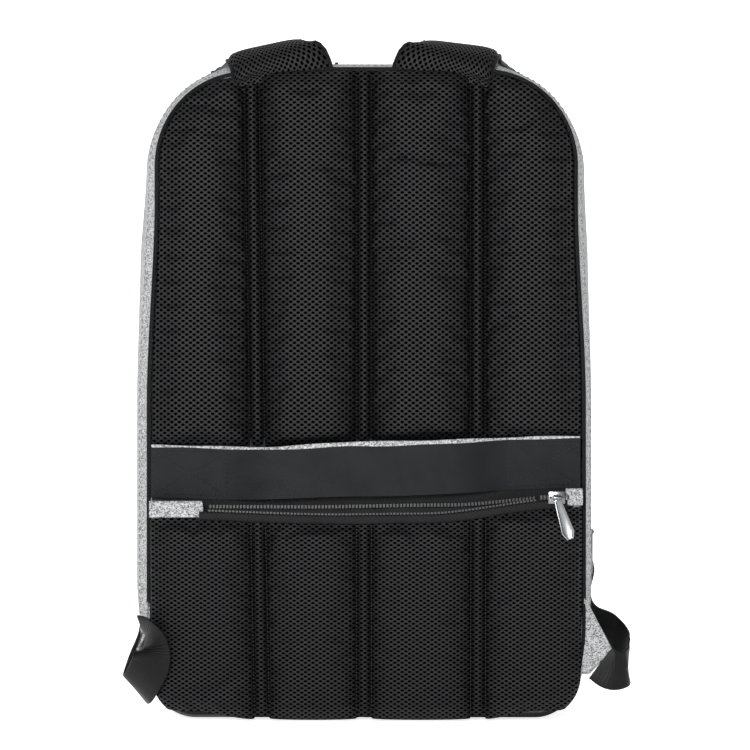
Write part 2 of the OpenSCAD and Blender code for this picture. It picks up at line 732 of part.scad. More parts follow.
back_board();
rear_gusset();
front_gusset();
base_panel();
front_panel();
zip_end_panels();
main_zip_tape();
main_zip_coil();
laptop_sleeve();
laptop_strap();
back_seam_piping();
upper_mesh_pad();
upper_foam_strips();
sleeve_backing();
luggage_band();
luggage_band_trim();
pocket_pouch();
lower_mesh_pad();
lower_foam_strips();
pocket_zip_upper_tape();
pocket_zip_coil();
pocket_rim_binding();
pocket_zip_end_tabs();
pocket_slider();
pocket_pull();
main_slider();
main_pull();
front_pocket();
hook_strip();
flap_hinge_strip();
flap_board();
flap_binding();
solar_laminate();
solar_cells();
cell_ribbons();
loop_strip();
controller_base();
controller_cover();
controller_board();
usb_socket();
status_lens();
controller_screws();
handle_anchor();
carry_handle();
strap_anchors();
strap_mesh(-1);  // left_strap_mesh
strap_foam(-1);  // left_strap_foam
strap_cover(-1);  // left_strap_cover
buckle(-1);  // left_buckle
webbing_end(-1);  // left_webbing_end
left_webbing();
left_tab();
strap_mesh(1);  // right_strap_mesh
strap_foam(1);  // right_strap_foam
strap_cover(1);  // right_strap_cover
buckle(1);  // right_buckle
webbing_end(1);  // right_webbing_end
right_webbing();
right_tab();
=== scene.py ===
import bisect
import math

import bmesh
import bpy
from mathutils import Matrix, Vector


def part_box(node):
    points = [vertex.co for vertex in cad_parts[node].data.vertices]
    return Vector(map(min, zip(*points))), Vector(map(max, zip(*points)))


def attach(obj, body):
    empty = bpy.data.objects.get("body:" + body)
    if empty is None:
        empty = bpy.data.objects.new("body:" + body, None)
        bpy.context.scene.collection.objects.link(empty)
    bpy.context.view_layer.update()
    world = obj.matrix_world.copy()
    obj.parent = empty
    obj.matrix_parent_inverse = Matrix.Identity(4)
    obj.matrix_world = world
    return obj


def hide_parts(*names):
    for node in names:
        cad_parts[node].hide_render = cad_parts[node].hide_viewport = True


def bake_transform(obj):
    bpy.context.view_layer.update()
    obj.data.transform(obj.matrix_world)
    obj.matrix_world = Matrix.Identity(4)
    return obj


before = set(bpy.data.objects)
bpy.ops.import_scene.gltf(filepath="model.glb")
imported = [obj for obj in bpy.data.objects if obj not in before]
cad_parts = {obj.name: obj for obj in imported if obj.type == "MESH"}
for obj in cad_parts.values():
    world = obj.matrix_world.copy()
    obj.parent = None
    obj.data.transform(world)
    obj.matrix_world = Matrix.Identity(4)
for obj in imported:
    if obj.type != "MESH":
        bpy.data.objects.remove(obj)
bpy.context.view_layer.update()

MM = 0.001


# ---------------------------------------------------------------- materials

def linear(code):
    """The linear colour of an sRGB hex code such as c4c6c8."""
    levels = [int(code[i:i + 2], 16) / 255 for i in (0, 2, 4)]
    return [v / 12.92 if v <= 0.04045 else ((v + 0.055) / 1.055) ** 2.4 for v in levels] + [1.0]


def add(tree, kind, inputs=None, **settings):
    """Adds one node. inputs gives each socket a value, or the output that feeds it."""
    made = tree.nodes.new("ShaderNode" + kind)
    for name, value in settings.items():
        setattr(made, name, value)
    for socket, value in (inputs or {}).items():
        if isinstance(value, bpy.types.NodeSocket):
            tree.links.new(value, made.inputs[socket])
        else:
            made.inputs[socket].default_value = value
    return made


def ramp(tree, source, stops, interpolation="LINEAR"):
    """A colour ramp over source; stops are (position, hex code)."""
    made = add(tree, "ValToRGB", {"Fac": source})
    made.color_ramp.interpolation = interpolation
    elements = made.color_ramp.elements
    while len(elements) < len(stops):
        elements.new(0.5)
    for element, (position, code) in zip(elements, stops):
        element.position = position
        element.color = linear(code)
    return made.outputs["Color"]


def noise(tree, place, scale, detail):
    """Soft noise over the piece; scale is how many of its lumps go in a metre."""
    return add(tree, "TexNoise", {"Vector": place.outputs["Object"], "Scale": scale,
                                  "Detail": detail}).outputs["Fac"]


def blend_colours(tree, share, low, high):
    """low where share is 0, high where it is 1."""
    return add(tree, "MixRGB", {"Fac": share, "Color1": low, "Color2": high}).outputs["Color"]


def start(name):
    """An empty material with its tree, its shader and the piece's own coordinates."""
    material = bpy.data.materials.new(name)
    material.use_nodes = True
    tree = material.node_tree
    shader = tree.nodes["Principled BSDF"]
    return material, tree, shader, add(tree, "TexCoord")


def finish_with(tree, shader, colour, height=None, depth=0.3, **values):
    """Joins colour and bump height (depth in mm) to the shader, and sets its constant values."""
    if colour is not None:
        tree.links.new(colour, shader.inputs["Base Color"])
    if height is not None:
        bump = add(tree, "Bump", {"Height": height, "Distance": depth * MM, "Strength": 1.0})
        tree.links.new(bump.outputs["Normal"], shader.inputs["Normal"])
    for name, value in values.items():
        socket = shader.inputs[name.replace("_", " ")]
        if isinstance(value, bpy.types.NodeSocket):
            tree.links.new(value, socket)
        else:
            socket.default_value = value


def spacer_mesh(name, across, up, flat=False, ground=("0b0b0c", "252527")):
    """Black spacer mesh: rows of oval holes, each row set over by half a hole."""
    material, tree, shader, place = start(name)
    turn = (0 if flat else math.radians(90), 0, math.radians(45))
    wide, high = (math.sqrt(2) / step * (1 if flat else 1000) for step in (across, up))
    scale = (wide, high, 0) if flat else (wide, 0, high)
    source = place.outputs["UV" if flat else "Object"]
    rows = add(tree, "Mapping", {"Vector": source, "Rotation": turn, "Scale": scale})
    holes = add(tree, "TexVoronoi", {"Vector": rows.outputs[0], "Scale": 1.0, "Randomness": 0.0},
                voronoi_dimensions="2D")
    rim = add(tree, "MapRange", {"Value": holes.outputs["Distance"], "From Min": 0.22, "From Max": 0.43},
              interpolation_type="SMOOTHSTEP").outputs["Result"]
    # knitted yarn is 0.2 mm thick; it is drawn coarser, so that it still reads from two metres away
    yarn = noise(tree, place, 900.0, 2.0)
    wear = noise(tree, place, 24.0, 2.0)
    cloth = blend_colours(tree, wear, linear("1a1a1c"),
                          ramp(tree, yarn, [(0.35, ground[0]), (0.72, ground[1])]))
    # painted shade: the cloth is drawn darker near a seam, since the shape alone leaves the creases too pale
    painted_seam_shade = add(tree, "Attribute", attribute_name="painted_seam_shade").outputs["Fac"]
    cloth = blend_colours(tree, add(tree, "Math", {0: painted_seam_shade, 1: 0.85}, operation="MULTIPLY").outputs[0],
                          cloth,
                          linear("020202"))
    knit = add(tree, "Math", {0: yarn, 1: 0.22, 2: rim}, operation="MULTIPLY_ADD").outputs[0]
    glint = add(tree, "Math", {0: rim, 1: 0.24}, operation="MULTIPLY").outputs[0]
    finish_with(tree, shader, blend_colours(tree, rim, linear("000000"), cloth), knit, 0.7, Roughness=0.6,
                Specular_IOR_Level=glint)
    return material


def melange(name, cell=(0.9, 0.9, 0.7), dark="555659"):
    """Salt-and-pepper woven polyester: near-white yarn with dark grey flecks of about a millimetre."""
    material, tree, shader, place = start(name)
    yarns = add(tree, "Mapping", {"Vector": place.outputs["Object"], "Scale": tuple(1000 / c for c in cell)})
    flecks = add(tree, "TexVoronoi", {"Vector": yarns.outputs[0], "Scale": 1.0, "Randomness": 0.85})
    tone = add(tree, "SeparateColor", {"Color": flecks.outputs["Color"]}).outputs["Red"]
    colour = ramp(tree, tone, [(0.0, dark), (0.12, "77787b"), (0.3, "929395"), (0.5, "a8a9aa"),
                               (0.76, "bdbebf")],
                  "CONSTANT")
    finish_with(tree, shader, colour, flecks.outputs["Distance"], -0.35, Roughness=0.85, Sheen_Weight=0.1)
    return material


def woven(name, dark, light, pitch, depth=0.2, rough=0.6, source="Object", axis="DIAGONAL", sheen=0.02):
    """Black cloth with fine raised ribs, pitch mm apart."""
    material, tree, shader, place = start(name)
    unit = 1 if source == "UV" else 1000
    ribs = add(tree, "TexWave", {"Vector": place.outputs[source], "Scale": unit * math.tau / (20 * pitch),
                                 "Distortion": 0.4, "Detail": 1.0}, bands_direction=axis).outputs["Fac"]
    wear = noise(tree, place, 60.0, 4.0)
    both = add(tree, "Math", {0: ribs, 1: 0.45, 2: wear}, operation="MULTIPLY_ADD").outputs[0]
    finish_with(tree, shader, ramp(tree, both, [(0.35, dark), (0.95, light)]), ribs, depth, Roughness=rough,
                Specular_IOR_Level=0.16, Sheen_Weight=sheen, Sheen_Roughness=0.4)
    return material


def moulded(name, dark, light, grain, depth=0.05, rough=(0.4, 0.55), **values):
    """Moulded or rolled sheet with a fine grain; grain is its size in mm."""
    material, tree, shader, place = start(name)
    speck = noise(tree, place, 1000 / grain, 3.0)
    cloud = noise(tree, place, 35.0, 3.0)
    shine = add(tree, "MapRange", {"Value": cloud, "To Min": rough[0], "To Max": rough[1]}).outputs["Result"]
    finish_with(tree, shader, ramp(tree, cloud, [(0.3, dark), (0.7, light)]), speck, depth, Roughness=shine,
                **values)
    return material


def solar_cell(name):
    """Dark blue silicon with pale printed fingers every 1.8 mm, under a clear film."""
    material, tree, shader, place = start(name)
    fingers = add(tree, "TexWave", {"Vector": place.outputs["Object"], "Scale": 1000 * math.tau / (20 * 1.8)},
                  bands_direction="Z").outputs["Fac"]
    blue = noise(tree, place, 18.0, 2.0)
    lines = add(tree, "MapRange", {"Value": fingers, "From Min": 0.9, "From Max": 0.98}).outputs["Result"]
    silicon = ramp(tree, blue, [(0.35, "0d1530"), (0.65, "16234a")])
    finish_with(tree, shader, blend_colours(tree, lines, silicon, linear("5d6b86")), None, Roughness=0.3,
                Coat_Weight=0.8, Coat_Roughness=0.12)
    return material


def green_board(name):
    """Green solder mask with paler copper tracks under it."""
    material, tree, shader, place = start(name)
    tracks = add(tree, "TexBrick", {"Vector": place.outputs["Object"], "Scale": 260.0, "Mortar Size": 0.06,
                                    "Color1": linear("134a2a"), "Color2": linear("18552f"),
                                    "Mortar": linear("2f7a48")})
    finish_with(tree, shader, tracks.outputs["Color"], tracks.outputs["Fac"], 0.1, Roughness=0.35)
    return material


# what the eye should get from each: the mesh a dull knit full of dark holes, the melange a bright speckle,
# the twill a smooth deep black, the webbing a satin rib, the nickel the only bright metal
back_mesh = spacer_mesh("spacer mesh, upper back", 5.3, 3.9)
pocket_mesh = spacer_mesh("spacer mesh, pocket", 5.3, 3.3)
strap_mesh = spacer_mesh("spacer mesh, straps", 4.0, 3.2, flat=True)
grey_melange = melange("grey melange polyester")
melange_edge = melange("melange turned edge", (0.9, 0.9, 0.9), "606164")
twill = woven("smooth black twill", "0d0e0f", "1b1c1e", 0.9, 0.08, 0.62)
seam_tape = woven("black seam tape", "070708", "151517", 1.4, 0.2, 0.55)
lining_cloth = woven("plain lining", "1c1d20", "2b2c30", 0.8, 0.1, 0.7)
belt = woven("ribbed black webbing", "030304", "0c0c0e", 1.3, 0.1, 0.36, "UV", "Y", 0.04)
zip_cloth = woven("zip tape", "0b0b0c", "18181a", 1.2, 0.15, 0.6, axis="X")
coil_black = moulded("moulded zip coil", "070708", "101012", 0.6, 0.03, (0.3, 0.4))
nickel = moulded("satin nickel plate", "6e7073", "868889", 0.5, 0.012, (0.22, 0.34), Metallic=1.0)
acetal = moulded("textured black acetal", "0b0b0c", "141416", 0.5, 0.05, (0.38, 0.5))
board_sheet = moulded("extruded board", "c4c4be", "d4d4ce", 1.5, 0.05, (0.5, 0.6))
film = moulded("dimpled clear film over black", "0d0e12", "15171c", 0.9, 0.06, (0.28, 0.38), Coat_Weight=0.6)
tinned = moulded("tinned ribbon", "b9bbbf", "cfd1d4", 0.5, 0.02, (0.25, 0.4), Metallic=1.0)
textured_abs = moulded("textured ABS", "101113", "1a1b1e", 0.35, 0.06, (0.5, 0.6))
plated_steel = moulded("plated steel", "9a9ca0", "b4b6ba", 0.3, 0.01, (0.25, 0.4), Metallic=1.0)
clear_lens = moulded("clear moulded lens", "cfe0f2", "e4f0ff", 0.4, 0.01, (0.08, 0.14),
                     Transmission_Weight=0.5)
cell_blue = solar_cell("printed solar cell")
board_green = green_board("solder mask")
hook_tape = woven("hook and loop tape", "0c0c0d", "242427", 1.1, 0.4, 0.8)
thread = moulded("grey sewing thread", "5a5b5e", "77787b", 0.3, 0.02, (0.5, 0.6))
dark_thread = moulded("black sewing thread", "040405", "0c0c0d", 0.3, 0.02, (0.45, 0.55))


# ---------------------------------------------------------------- making pieces, in mm

def eased(t):
    t = min(max(t, 0.0), 1.0)
    return t * t * (3 - 2 * t)


def heights(stations, x):
    """A value that runs smoothly through (x, value) stations."""
    for (x0, v0), (x1, v1) in zip(stations, stations[1:]):
        if x <= x1:
            return v0 + (v1 - v0) * eased((x - x0) / (x1 - x0))
    return stations[-1][1]


def raised(value, power):
    return math.copysign(abs(value) ** power, value)


def rounded(turn, half_w, half_t, power=0.35):
    """A point on a rounded bar's section; turn runs from 0 to 1 once round."""
    return (half_w * raised(math.cos(turn * math.tau), power),
            half_t * raised(math.sin(turn * math.tau), power))


def grid(across, along, place, flat=(1, 1), closed=False):
    """A net of quads. place(u, v) puts each corner; flat is the cloth's width and length, for the UVs."""
    net = bmesh.new()
    uvs = net.loops.layers.uv.new("flat")
    bmesh.ops.create_grid(net, x_segments=across, y_segments=along, size=0.5)
    for face in net.faces:
        for loop in face.loops:
            loop[uvs].uv = ((loop.vert.co.x + 0.5) * flat[0], (loop.vert.co.y + 0.5) * flat[1])
    for vert in net.verts:
        vert.co = place(min(max(vert.co.x + 0.5, 0.0), 1.0), min(max(vert.co.y + 0.5, 0.0), 1.0))
    if closed:
        bmesh.ops.remove_doubles(net, verts=net.verts, dist=0.004)
    return net


def open_edges(net):
    return [edge for edge in net.edges if edge.is_boundary]


def face_outwards(net):
    bmesh.ops.recalc_face_normals(net, faces=net.faces)


def with_back(net, move):
    """Closes a padded face: its open edges are drawn back by move(co), and the back is filled."""
    drawn = bmesh.ops.extrude_edge_only(net, edges=open_edges(net))["geom"]
    for vert in (g for g in drawn if isinstance(g, bmesh.types.BMVert)):
        vert.co = move(vert.co)
    bmesh.ops.holes_fill(net, edges=open_edges(net), sides=0)
    face_outwards(net)
    return net


def rounded_off(net, edges, width, segments, **limits):
    bmesh.ops.bevel(net, geom=edges, offset=width, segments=segments, profile=0.5, affect="EDGES",
                    material=-1, **limits)


class Route:
    """A smooth line through stations, and the way that a band's width points along it."""

    def __init__(self, stations, aims):
        self.points, self.aims = [], []
        self.gaps = [(Vector(b) - Vector(a)).length for a, b in zip(stations, stations[1:])]
        for i in range(len(stations) - 1):
            for k in range(12):
                self.points.append(self.between(stations, i, k / 12))
                self.aims.append(self.between(aims, i, k / 12))
        self.points.append(Vector(stations[-1]))
        self.aims.append(Vector(aims[-1]))
        self.far = [0.0]
        for a, b in zip(self.points, self.points[1:]):
            self.far.append(self.far[-1] + (b - a).length)
        self.length = self.far[-1]

    def between(self, values, i, t):
        """A cubic through the values, which takes account of how far apart the stations are."""
        def slope(j):
            if j == 0 or j == len(values) - 1:
                k = min(j, len(values) - 2)
                return (Vector(values[k + 1]) - Vector(values[k])) / self.gaps[k]
            before = (Vector(values[j]) - Vector(values[j - 1])) / self.gaps[j - 1]
            after = (Vector(values[j + 1]) - Vector(values[j])) / self.gaps[j]
            return (before * self.gaps[j] + after * self.gaps[j - 1]) / (self.gaps[j] + self.gaps[j - 1])
        b, c, gap = Vector(values[i]), Vector(values[i + 1]), self.gaps[i]
        return (b * (2 * t ** 3 - 3 * t ** 2 + 1) + c * (3 * t ** 2 - 2 * t ** 3)
                + slope(i) * gap * (t ** 3 - 2 * t ** 2 + t) + slope(i + 1) * gap * (t ** 3 - t ** 2))

    def at(self, share):
        """Middle, width direction and face direction at that share of the length."""
        far = min(max(share, 0.0), 1.0) * self.length
        i = min(max(bisect.bisect_right(self.far, far) - 1, 0), len(self.points) - 2)
        t = (far - self.far[i]) / (self.far[i + 1] - self.far[i])
        middle = self.points[i].lerp(self.points[i + 1], t)
        before, after = self.points[max(i - 2, 0)], self.points[min(i + 3, len(self.points) - 1)]
        ahead = (after - before).normalized()
        aim = self.aims[i].lerp(self.aims[i + 1], t)
        width = (aim - aim.dot(ahead) * ahead).normalized()
        return middle, width, ahead.cross(width)


def bar(route, section, across=16, along=60, width=30):
    """A closed bar along a route. section(turn, share) gives its offsets in width and thickness."""
    def place(u, v):
        middle, wide, face = route.at(v)
        a, b = section(u, v)
        return middle + wide * a + face * b
    return capped(grid(across, along, place, (2 * width, route.length), closed=True))


def capped(net):
    """Fills a net's open ends."""
    if open_edges(net):
        bmesh.ops.holes_fill(net, edges=open_edges(net), sides=0)
    face_outwards(net)
    return net


def backed(net, depth):
    """Gives a net its thickness, behind its faces as they stand."""
    bmesh.ops.solidify(net, geom=net.faces[:] + net.edges[:] + net.verts[:], thickness=depth)
    face_outwards(net)
    return net


def thicken(net, depth):
    """Gives a net of cloth its thickness, behind its face."""
    face_outwards(net)
    return backed(net, depth)


def join(net, other):
    """Puts a second net into the first."""
    held = bpy.data.meshes.new("joining")
    other.to_mesh(held)
    other.free()
    net.from_mesh(held)
    bpy.data.meshes.remove(held)
    return net


def piece(name, net, material, slot, body, *nodes, angle=40):
    """Makes an object of a net in mm, which rides on body and stands for those CAD nodes."""
    bmesh.ops.scale(net, vec=(MM, MM, MM), verts=net.verts)
    mesh = bpy.data.meshes.new(name)
    net.to_mesh(mesh)
    net.free()
    if "custom_normal" in mesh.attributes:
        mesh.attributes.remove(mesh.attributes["custom_normal"])
    mesh.polygons.foreach_set("use_smooth", [True] * len(mesh.polygons))
    mesh.set_sharp_from_angle(angle=math.radians(angle))
    mesh.materials.append(material)
    made = bpy.data.objects.new(name, mesh)
    bpy.context.scene.collection.objects.link(made)
    if nodes:
        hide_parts(*nodes)
    if body:
        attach(made, body)
    return made


def rounded_copy(node, width, segments=2, soft=0.0):
    """A CAD node's mesh with its edges rounded; soft mm of slow waviness for cloth."""
    net = bmesh.new()
    net.from_mesh(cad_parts[node].data)
    bmesh.ops.scale(net, vec=(1000, 1000, 1000), verts=net.verts)
    bmesh.ops.remove_doubles(net, verts=net.verts, dist=0.01)
    bmesh.ops.dissolve_limit(net, angle_limit=math.radians(2), verts=net.verts, edges=net.edges)
    corners = [e for e in net.edges if len(e.link_faces) == 2 and e.calc_face_angle(0) > math.radians(32)]
    rounded_off(net, corners, width, segments, clamp_overlap=True)
    if soft:
        long = [e for e in net.edges if e.calc_length() > 12]
        bmesh.ops.subdivide_edges(net, edges=long, cuts=6, use_grid_fill=True)
        for vert in net.verts:
            x, y, z = vert.co
            vert.co.y += soft * math.sin(x / 13 + z / 19) * math.cos(z / 15 - x / 31)
    face_outwards(net)
    return net


def repeated(net, count, make):
    """Adds count small shapes; make(part, i) adds one. They are gathered in lots, which is far quicker."""
    for first in range(0, count, 24):
        lot = bmesh.new()
        for i in range(first, min(first + 24, count)):
            make(lot, i)
        join(net, lot)
    return net


def stitches(net, seam, length, pitch, radius=0.32, gaps=0.4):
    """Adds thread beads along a seam; seam(share) gives its line."""
    count = max(int(length / pitch), 1)

    def bead(lot, i):
        a, b = seam((i + gaps / 2) / count), seam((i + 1 - gaps / 2) / count)
        turn = (b - a).to_track_quat("X", "Z").to_matrix().to_4x4()
        size = Matrix.Diagonal(((b - a).length / 2, radius, radius, 1))
        bmesh.ops.create_uvsphere(lot, u_segments=6, v_segments=4, radius=1,
                                  matrix=Matrix.Translation((a + b) / 2) @ turn @ size)
    return repeated(net, count, bead)


def puff(made, sewn, reach):
    """Lets air shape padded cloth. sewn(point in mm) says what is held; nothing moves more than reach mm."""
    start_at = [v.co.copy() for v in made.data.vertices]
    held = made.vertex_groups.new(name="sewn")
    held.add([v.index for v in made.data.vertices if sewn(v.co / MM)], 1.0, "REPLACE")
    cloth = made.modifiers.new("air", "CLOTH")
    settings = cloth.settings
    settings.quality = 5
    settings.mass = 0.2
    settings.vertex_group_mass = "sewn"
    settings.use_pressure = True
    settings.uniform_pressure_force = 4.0
    settings.effector_weights.gravity = 0.0
    settings.tension_stiffness = 12.0
    settings.compression_stiffness = 12.0
    settings.shrink_min = -0.03
    cloth.collision_settings.use_collision = False
    cloth.point_cache.frame_start = 1
    cloth.point_cache.frame_end = 20
    for moment in range(1, 21):
        bpy.context.scene.frame_set(moment)
        shaped = made.evaluated_get(bpy.context.evaluated_depsgraph_get())
    moved = [v.co.copy() for v in shaped.data.vertices]
    made.modifiers.remove(cloth)
    made.vertex_groups.clear()
    bpy.context.scene.frame_set(1)
    for vert, was, now in zip(made.data.vertices, start_at, moved):
        step = now - was
        if step.length > reach * MM:
            step *= reach * MM / step.length
        vert.co = was + step


def subdivided(made, smoothness=0.0):
    """One subdivision of a finished net."""
    net = bmesh.new()
    net.from_mesh(made.data)
    bmesh.ops.subdivide_edges(net, edges=net.edges, cuts=1, use_grid_fill=True, smooth=smoothness)
    net.to_mesh(made.data)
    net.free()


def quilted(name, net, material, slot, body, nodes, sewn, reach, move):
    """A padded cloth face, filled out by air, then closed at the back by move(point in mm)."""
    face_outwards(net)
    if sum(face.normal.y for face in net.faces) > 0:
        bmesh.ops.reverse_faces(net, faces=net.faces)
    made = piece(name, net, material, slot, body, *nodes)
    puff(made, sewn, reach)
    subdivided(made, 0.0)
    net = bmesh.new()
    net.from_mesh(made.data)
    with_back(net, lambda co: move(co / MM) * MM)
    net.to_mesh(made.data)
    net.free()
    made.data.set_sharp_from_angle(angle=math.radians(60))
    # painted shade: each point's share of the darkening drawn by the seams
    painted_seam_shade = made.data.attributes.new("painted_seam_shade", "FLOAT", "POINT")
    painted_seam_shade.data.foreach_set("value", [near_seam(v.co / MM) for v in made.data.vertices])
    return made


# ---------------------------------------------------------------- the bag's own shape

HALF, TOP, TOP_R, LOW_R = 161.0, 470.0, 72.0, 34.0
BASE_H = 26.0
MIDDLE_Z = TOP / 2
REAR_EDGE, FRONT_EDGE = -60.5, 60.2                # the walls' two seams
ZIP_REAR, ZIP_FRONT, ZIP_Y = 13.9, 26.1, 20        # the main zip lies between the two walls
RUNS = (HALF - LOW_R, LOW_R * math.pi / 2, TOP - LOW_R - TOP_R, TOP_R * math.pi / 2, HALF - TOP_R)
HALF_RIM = sum(RUNS)


def rim(far):
    """Point and outward direction in XZ, far mm round the outline from the middle of the base."""
    far %= 2 * HALF_RIM
    side, far = (1, far) if far <= HALF_RIM else (-1, 2 * HALF_RIM - far)
    for run, length in enumerate(RUNS):
        if far <= length or run == 4:
            break
        far -= length
    angle = far / (LOW_R if run == 1 else TOP_R)
    s, c = math.sin(angle), math.cos(angle)
    x, z, out_x, out_z = (
        (far, 0, 0, -1),
        (HALF - LOW_R + LOW_R * s, LOW_R - LOW_R * c, s, -c),
        (HALF, LOW_R + far, 1, 0),
        (HALF - TOP_R + TOP_R * c, TOP - TOP_R + TOP_R * s, c, s),
        (HALF - TOP_R - far, TOP, 0, 1))[run]
    return side * x, z, side * out_x, out_z


def narrowed(x, y, z):
    """The wearer's side of the bag is a little narrower above, and towards its foot."""
    rear = 1 - eased((y + 60) / 70)
    above = 0.036 * eased((z - 225) / 150) * rear
    foot = 0.042 * eased((66 - z) / 56) * (0.35 + 0.65 * rear)
    return x * (1 - above - foot)


def on_rim(far, y, out):
    """A point out mm outside the outline, at depth y."""
    x, z, out_x, out_z = rim(far)
    return Vector((narrowed(x + out_x * out, y, z + out_z * out), y, z + out_z * out))


def inset(x, z):
    """How far inside the outline the mesh ends; it comes nearer to the edge along the top."""
    side = 7.4 if x < 0 else 5.6
    return side if z < TOP - TOP_R else side + (4.2 - side) * eased((96 - abs(x)) / 50)


def wall_out(far, y):
    """How far the side wall stands outside the outline: full at the rear, turned in at its seams."""
    x, z, _, _ = rim(far)
    full = (4.8 if x < 0 else 3.2) * eased((z - 40) / 60) * (1 - eased((z - 330) / 80))
    full += 3.4 * eased((z - 466) / 4)
    swell = full * max(0.0, math.sin(math.pi * min(max((y + 58) / 66, 0), 1))) ** 0.8
    turned = max(inset(x, z) - 3.0, 0) * (1 - eased((y + 60) / 9)) + 4.0 * eased((y - 52) / 8) ** 2 \
        + 4.5 * (1 - eased((y + 60) / 28)) * (1 - eased((z - 12) / 40))
    front = 1.0 * eased((y - 27) / 12) * (1 - eased((y - 48) / 10))
    return swell - turned + front


def wall(name, material, slot, y0, y1, low, high, depth, nodes, across=260, along=14, out=0.0):
    """A strip of the side wall, from far = low to high round the outline."""
    def place(u, v):
        far, y = low + (high - low) * u, y0 + (y1 - y0) * v
        return on_rim(far, y, wall_out(far, y) + out)
    net = grid(across, along, place)
    face_outwards(net)
    middle = Vector((0, 0, MIDDLE_Z))
    if sum((f.calc_center_median() - middle).dot(f.normal) for f in net.faces) < 0:
        bmesh.ops.reverse_faces(net, faces=net.faces)
    return piece(name, backed(net, depth), material, slot, "bag", *nodes)


BASE_END = RUNS[0] + LOW_R * math.acos((LOW_R - BASE_H) / LOW_R)      # far at the top of the base
ZIP_END = RUNS[0] + RUNS[1] + (118 - LOW_R)                           # far at the end of the main zip
AROUND = 2 * HALF_RIM

rear_wall = wall("rear_side_wall", grey_melange, "melange_fabric", REAR_EDGE, ZIP_REAR, BASE_END,
                 AROUND - BASE_END, 2.4,
                 ["rear_gusset"], across=300, along=20)
front_wall = wall("front_side_wall", grey_melange, "melange_fabric", ZIP_FRONT, FRONT_EDGE, BASE_END,
                  AROUND - BASE_END, 2.4,
                  ["front_gusset"], across=300, along=12)
base = wall("base_panel_cloth", twill, "black_twill", REAR_EDGE, FRONT_EDGE, -BASE_END, BASE_END, 2.6,
            ["base_panel"],
            across=120, along=30, out=0.1)

low_flats = bmesh.new()
for first, last in ((BASE_END, ZIP_END - 0.3), (AROUND - ZIP_END + 0.3, AROUND - BASE_END)):
    strip = grid(20, 4, lambda u, v: on_rim(first + (last - first) * u, 14.2 + 11.6 * v, 0.0))
    join(low_flats, thicken(strip, 1.6))
piece("zip_foot_cloths", low_flats, grey_melange, "melange_fabric", "bag", "zip_end_panels")

tape = bmesh.new()
for y0, y1 in ((14.1, 19.6), (20.4, 25.9)):
    strip = grid(240, 3, lambda u, v: on_rim(ZIP_END + (AROUND - 2 * ZIP_END) * u, y0 + (y1 - y0) * v, -0.1))
    join(tape, thicken(strip, 0.9))
piece("main_zip_tapes", tape, zip_cloth, "zip_tape", "bag", "main_zip_tape")

TEETH = 360                                        # one each 2.6 mm, coarser than a real coil, to stay light


def tooth(lot, i):
    far = ZIP_END + 6 + (AROUND - 2 * ZIP_END - 12) * (i + 0.5) / TEETH
    _, _, out_x, out_z = rim(far)
    turn = Vector((out_x, 0, out_z)).to_track_quat("X", "Y").to_matrix().to_4x4()
    bmesh.ops.create_cube(lot, size=1, matrix=Matrix.Translation(on_rim(far, ZIP_Y, 0.55)) @ turn
                          @ Matrix.Diagonal((1.1, 3.6, 1.7, 1)))


piece("main_zip_teeth", repeated(bmesh.new(), TEETH, tooth), coil_black, "zip_coil", "bag",
                  "main_zip_coil")

seams = bmesh.new()
for y in (-52.5, 11.4, 28.6, 53.5):
    stitches(seams, lambda s: on_rim(BASE_END + 4 + (AROUND - 2 * BASE_END - 8) * s,
                                     y, wall_out(BASE_END + 4 + (AROUND - 2 * BASE_END - 8) * s, y) + 0.1),
             AROUND - 2 * BASE_END - 8, 5.0, 0.3)
piece("side_wall_stitching", seams, thread, "melange_fabric", "bag")


def panel(name, material, slot, y_edge, out, rise, depth, nodes, rings=26):
    """A panel that fills the outline; rise is how far its middle stands out."""
    def place(u, v):
        edge = on_rim(AROUND * u, y_edge, out)
        x, z = edge.x * (1 - v), edge.z + (MIDDLE_Z - edge.z) * v
        return Vector((x, y_edge + rise * (1 - (1 - min(v * 5, 1)) ** 2.5), z))
    net = grid(180, rings, place, closed=True)
    face_outwards(net)
    if sum(f.normal.y * f.calc_area() for f in net.faces) < 0:
        bmesh.ops.reverse_faces(net, faces=net.faces)
    return piece(name, backed(net, depth), material, slot, "bag", *nodes)


front = panel("front_panel_cloth", grey_melange, "melange_fabric", 59.6, -2.6, 4.2, 2.4, ["front_panel"])
panel("back_board_sheet", board_sheet, "stiffener", -57.4, -6.5, 0.0, 1.8, ["back_board"])

# ---------------------------------------------------------------- mesh back panel

GROOVES = (-79.3, -0.7, 80.7)
RIB = 5.2                                          # half the flat rib between two channels
UPPER_RISE, LOWER_RISE = 10.2, 7.6                 # how far the channels stand out
UPPER_AIR, LOWER_AIR = 1.4, 1.0                    # how far air may move the cloth
EDGE = (-153.6, 155.4)                             # left and right edges of the mesh
SEAM_Y = -62.2                                     # the back panel's seams lie in this plane


def groove_at(i, z):
    """Middle of a groove; the left one leans."""
    return GROOVES[i] - (2.2 * (z - 330) / 130 if i == 0 else 0)


def upper_edge(side, z):
    """Left (0) or right (1) edge of the upper pad, round its top corner."""
    way = 2 * side - 1
    reach = TOP_R - inset(way, 0)
    over = min(max(z - (TOP - TOP_R), 0), reach)
    x = way * (HALF - TOP_R + math.sqrt(reach ** 2 - over ** 2))
    return narrowed(x, -60, z)


def lower_edge(side, z):
    corner, low = 31.0, 2.0
    drawn = corner - math.sqrt(max(corner ** 2 - max(low + corner - z, 0) ** 2, 0))
    return EDGE[side] + (drawn if side == 0 else -drawn) + (0.6 if side == 0 else -1.0)


def near_seam(co):
    """How much painted shade a point gets: 1 on the two seams of a rib, and 0 about 10 mm away."""
    away = min(abs(abs(co.x - groove_at(i, co.z)) - RIB) for i in range(3))
    return math.exp(-(away / 4.6) ** 2)


PARTS = (22, 6, 22, 6, 22, 6, 22)                  # columns in each channel and rib


